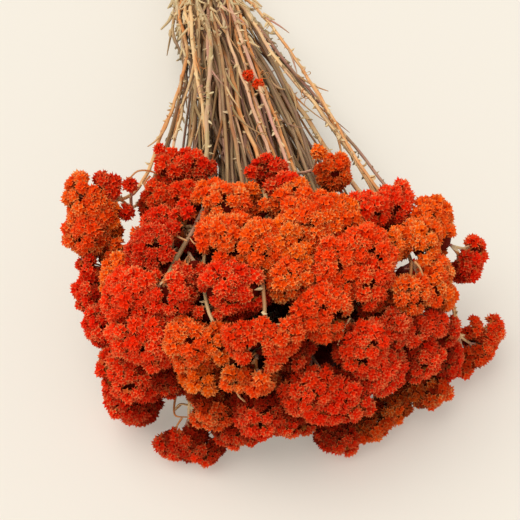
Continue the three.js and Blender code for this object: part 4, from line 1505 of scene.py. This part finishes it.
STALK_RADIUS = 0.42
STALK_BOW = 0.075  # of a cluster's spread
BRANCH_RADIUS = 0.8
BRANCH_TONES = (0.4, 0.7)
FORK_AT = 0.45  # of the way from the joint to a cluster
BRANCH_SHORT = 0.1  # of a cluster's spread
BUTTON_DEPTH = 0.6 * BUTTON_RADIUS
SMALLEST_BUTTON = 0.82
BUTTONS_VARY = 0.36
CLOSED_BUTTONS = 2  # variants of the button for the middle of a cluster, before those for its rim
CORE_VARIANT = 4
CORE_GLOOM = 1.2
INNER_CORE_GLOOM = 1.5
HIDDEN_GLOOM = 0.5
SHADE_GLOOM = 0.6
FRONT_GLOOM = 0.15
JOINT_CORE_DEEP = 14
JOINT_CORE_SIZE = 7
JOINT_CORE_INSIDE = 0.8
FRONT_FROM = -15
FRONT_DEPTH = 30
INNER_CORE_TOWARDS = np.array((0, 0, 24))
INNER_CORE_SHARE = 0.4
RIM_ANGLE = math.radians(62)
# Shaded florets low in the pile, painted dark as shade, where the gaps would otherwise let the table
# through
FILLING = [((-11, 6, 13), 11), ((60, 17, 14), 9), ((17, -26, 12), 9)]
for one in heads:
    name = f"head_{one.index + 1:02d}"
    rows = []
    lines = []
    for cluster in one.clusters:
        tone = chance(cluster.seed + 0.9)
        found = button_places(cluster)
        for place, facing, polar in found:
            # The gloom of a button is painted shade: more for hidden clusters, for buttons at the front
            # of the pile, and for buttons that other clusters shade from above
            rows.append(
                {
                    "place": place,
                    "facing": facing,
                    "cluster_tone": tone,
                    "gloom": HIDDEN_GLOOM * (1 - cluster.away / SEEN_AWAY)
                    + FRONT_GLOOM * min(max((FRONT_FROM - place[1]) / FRONT_DEPTH, 0), 1)
                    + SHADE_GLOOM * in_the_shade(cluster, place, facing) * (len(found) > 1),
                    "variant": CLOSED_BUTTONS * (polar > RIM_ANGLE),
                    "size": None,
                }
            )
        # A second core deeper in the pile, painted darker still with shade
        inner = between(cluster.middle, INNER_CORE_TOWARDS, INNER_CORE_SHARE)
        inner_size = min(CORE_SHARE * half_width(cluster), inner[2] - CORE_OVER_TABLE)
        cores = [
            (cluster.middle, core_size(cluster, cluster.middle), CORE_GLOOM),
            (inner, inner_size, INNER_CORE_GLOOM),
        ]
        # A dark core behind a joint in sight, painted shade inside the pile
        behind = one.joint + JOINT_CORE_DEEP * unit(one.joint - EYE)
        inside = np.linalg.norm((behind - PILE_MIDDLE) / PILE_HALF) < JOINT_CORE_INSIDE
        if one.joint_seen and inside and cluster is one.clusters[0]:
            cores.append((behind, JOINT_CORE_SIZE, INNER_CORE_GLOOM))
        if cluster is heads[-1].clusters[0]:
            cores += [(np.array(at), size, INNER_CORE_GLOOM) for at, size in FILLING]
        for place, size, gloom in cores:
            if len(found) > 1 and size > LEAST_CORE:
                rows.append(
                    {
                        "place": place,
                        "facing": cluster.facing,
                        "cluster_tone": tone,
                        "gloom": gloom,
                        "variant": CORE_VARIANT,
                        "size": size,
                    }
                )
        fork = between(one.joint, cluster.middle, FORK_AT)
        middle = cluster.middle - BRANCH_SHORT * cluster.spread * cluster.facing
        lines.append((np.array((one.joint - one.facing, fork, middle)), BRANCH_RADIUS))
        for place, facing, _ in found:
            foot = place - facing * BUTTON_DEPTH
            bend = 0.5 * (fork + foot) + STALK_BOW * cluster.spread * unit(foot - middle)
            lines.append((np.array((fork, bend, foot)), STALK_RADIUS))
    mesh = bpy.data.meshes.new(name)
    mesh.from_pydata(in_frame([row["place"] for row in rows]).tolist(), [], [])
    draws = [[chance(100 * one.index + 7 * k + n) for n in range(4)] for k in range(len(rows))]
    columns = {
        "size": [
            (row["size"] or BUTTON_RADIUS * (SMALLEST_BUTTON + BUTTONS_VARY * draw[0])) / 1000
            for draw, row in zip(draws, rows)
        ],
        "turn": [2 * math.pi * draw[1] for draw in draws],
        "button_tone": [draw[2] for draw in draws],
        "cluster_tone": [row["cluster_tone"] for row in rows],
        "gloom": [row["gloom"] for row in rows],
        "variant": [
            row["variant"] + (0 if row["size"] else int(2 * draw[3]))
            for draw, row in zip(draws, rows)
        ],
    }
    for label, values in columns.items():
        kind = "INT" if label == "variant" else "FLOAT"
        mesh.attributes.new(label, kind, "POINT").data.foreach_set("value", values)
    facings = mesh.attributes.new("facing", "FLOAT_VECTOR", "POINT")
    facings.data.foreach_set("vector", np.concatenate([row["facing"] for row in rows]))
    piece = grown(
        head_shape,
        f"florets_{one.index + 1:02d}",
        mesh,
        Buttons=button_shapes,
        Material=floret_materials[one.tint],
    )
    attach(piece, "root")
    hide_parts(name)

    branches = grown(
        stem_shape,
        f"branches_{one.index + 1:02d}",
        line_mesh(
            name,
            [
                thin_line(places, radius, between(*BRANCH_TONES, chance(one.index + k)), 0)
                for k, (places, radius) in enumerate(lines)
            ],
        ),
        Smoothness=3,
        Leaves=leaf_shapes,
        Leaf_Spacing=0.01,
        Material=stem_material,
    )
    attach(branches, "root")

# The tie
# Four turns of natural twine hold the stems together, side by side and pulled tight, with the
# ends tucked in. The twine is two plies of hairy plant fibre, twisted.

THREADS_ALONG = 250
THREADS_AROUND = 8
TWINE_DARK = colour("#6e5230")
TWINE_PALE = colour("#cdae7c")

twine_material, nodes, shader = surface("twine")
around = attribute(nodes, "around")
along = attribute(nodes, "along")
thread = nodes.add(
    "ShaderNodeCombineXYZ", {"X": around * THREADS_AROUND, "Y": along * THREADS_ALONG}
)
fibres = nodes.add("ShaderNodeTexNoise", {"Vector": thread, "Scale": 1.0, "Detail": 4.0})
base = nodes.mix(fibres.within(0.3, 0.7), TWINE_DARK, TWINE_PALE)
set_surface(nodes, shader, base, fibres * 0.2 + 0.75, fibres, FIBRE_DEPTH)

TWINE_TURNS = 4
TWIST = 4.5
POINTS_TO_A_TURN = 96
PLY_OFF_AXIS = 0.5
PLY_RADIUS = 0.58
lines = []
for ply in range(2):
    places = []
    for k in range(TWINE_TURNS * POINTS_TO_A_TURN + 1):
        turn = 2 * math.pi * k / POINTS_TO_A_TURN
        share = k / (TWINE_TURNS * POINTS_TO_A_TURN)
        twist = turn * (TIE_INNER / TWIST) + math.pi * ply
        radius = TIE_INNER + TWINE / 2 + PLY_OFF_AXIS * math.cos(twist)
        y = (share - 0.5) * (TWINE_TURNS - 1) * TWINE + PLY_OFF_AXIS * math.sin(twist)
        places.append(TIE_MIDDLE + np.array((radius * math.cos(turn), y, radius * math.sin(turn))))
    lines.append(thin_line(places, PLY_RADIUS, 0.5, 0))
tie = grown(
    stem_shape,
    "twine_tie",
    line_mesh("twine", lines),
    Smoothness=2,
    Leaves=leaf_shapes,
    Leaf_Spacing=0.01,
    Material=twine_material,
)
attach(tie, "root")
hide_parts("tie")

# The table, the light and the camera
# The bunch lies on a plain pale table. Soft daylight falls on it from the upper left, and the
# camera looks down at it from in front.

floor_material, nodes, shader = surface("table")
shader.inputs["Base Color"].default_value = colour("#d0cdc7")
shader.inputs["Emission Color"].default_value = colour("#f5eedd")
shader.inputs["Emission Strength"].default_value = 0.29
shader.inputs["Roughness"].default_value = 0.9
bpy.ops.mesh.primitive_plane_add(size=6)
table = bpy.context.object
table.name = "table"
table.data.materials.append(floor_material)

SUN_DIRECTION = Vector((0.38, -0.22, -1))

world = bpy.data.worlds.new("daylight")
bpy.context.scene.world = world
world.use_nodes = True
world.node_tree.nodes["Background"].inputs["Color"].default_value = colour("#fffcf8")
world.node_tree.nodes["Background"].inputs["Strength"].default_value = 0.56
bpy.context.scene.view_settings.view_transform = "Standard"

window = bpy.data.lights.new("window", "SUN")
window.angle = math.radians(60)
window.energy = 1.75
window.color = colour("#fff8ee")[:3]
window_object = bpy.data.objects.new("window", window)
window_object.rotation_mode = "QUATERNION"
window_object.rotation_quaternion = SUN_DIRECTION.to_track_quat("-Z", "Y")
bpy.context.scene.collection.objects.link(window_object)

camera = bpy.data.cameras.new("camera")
camera.sensor_width = 36
camera.lens = FOCAL_PIXELS / IMAGE_PIXELS * camera.sensor_width
camera.clip_start = 0.01
camera_object = bpy.data.objects.new("camera", camera)
turned = Matrix((RIGHT, UP, -FORWARD)).transposed()
camera_object.matrix_world = Matrix.Translation(in_frame(EYE)) @ turned.to_4x4()
bpy.context.scene.collection.objects.link(camera_object)
bpy.context.scene.camera = camera_object
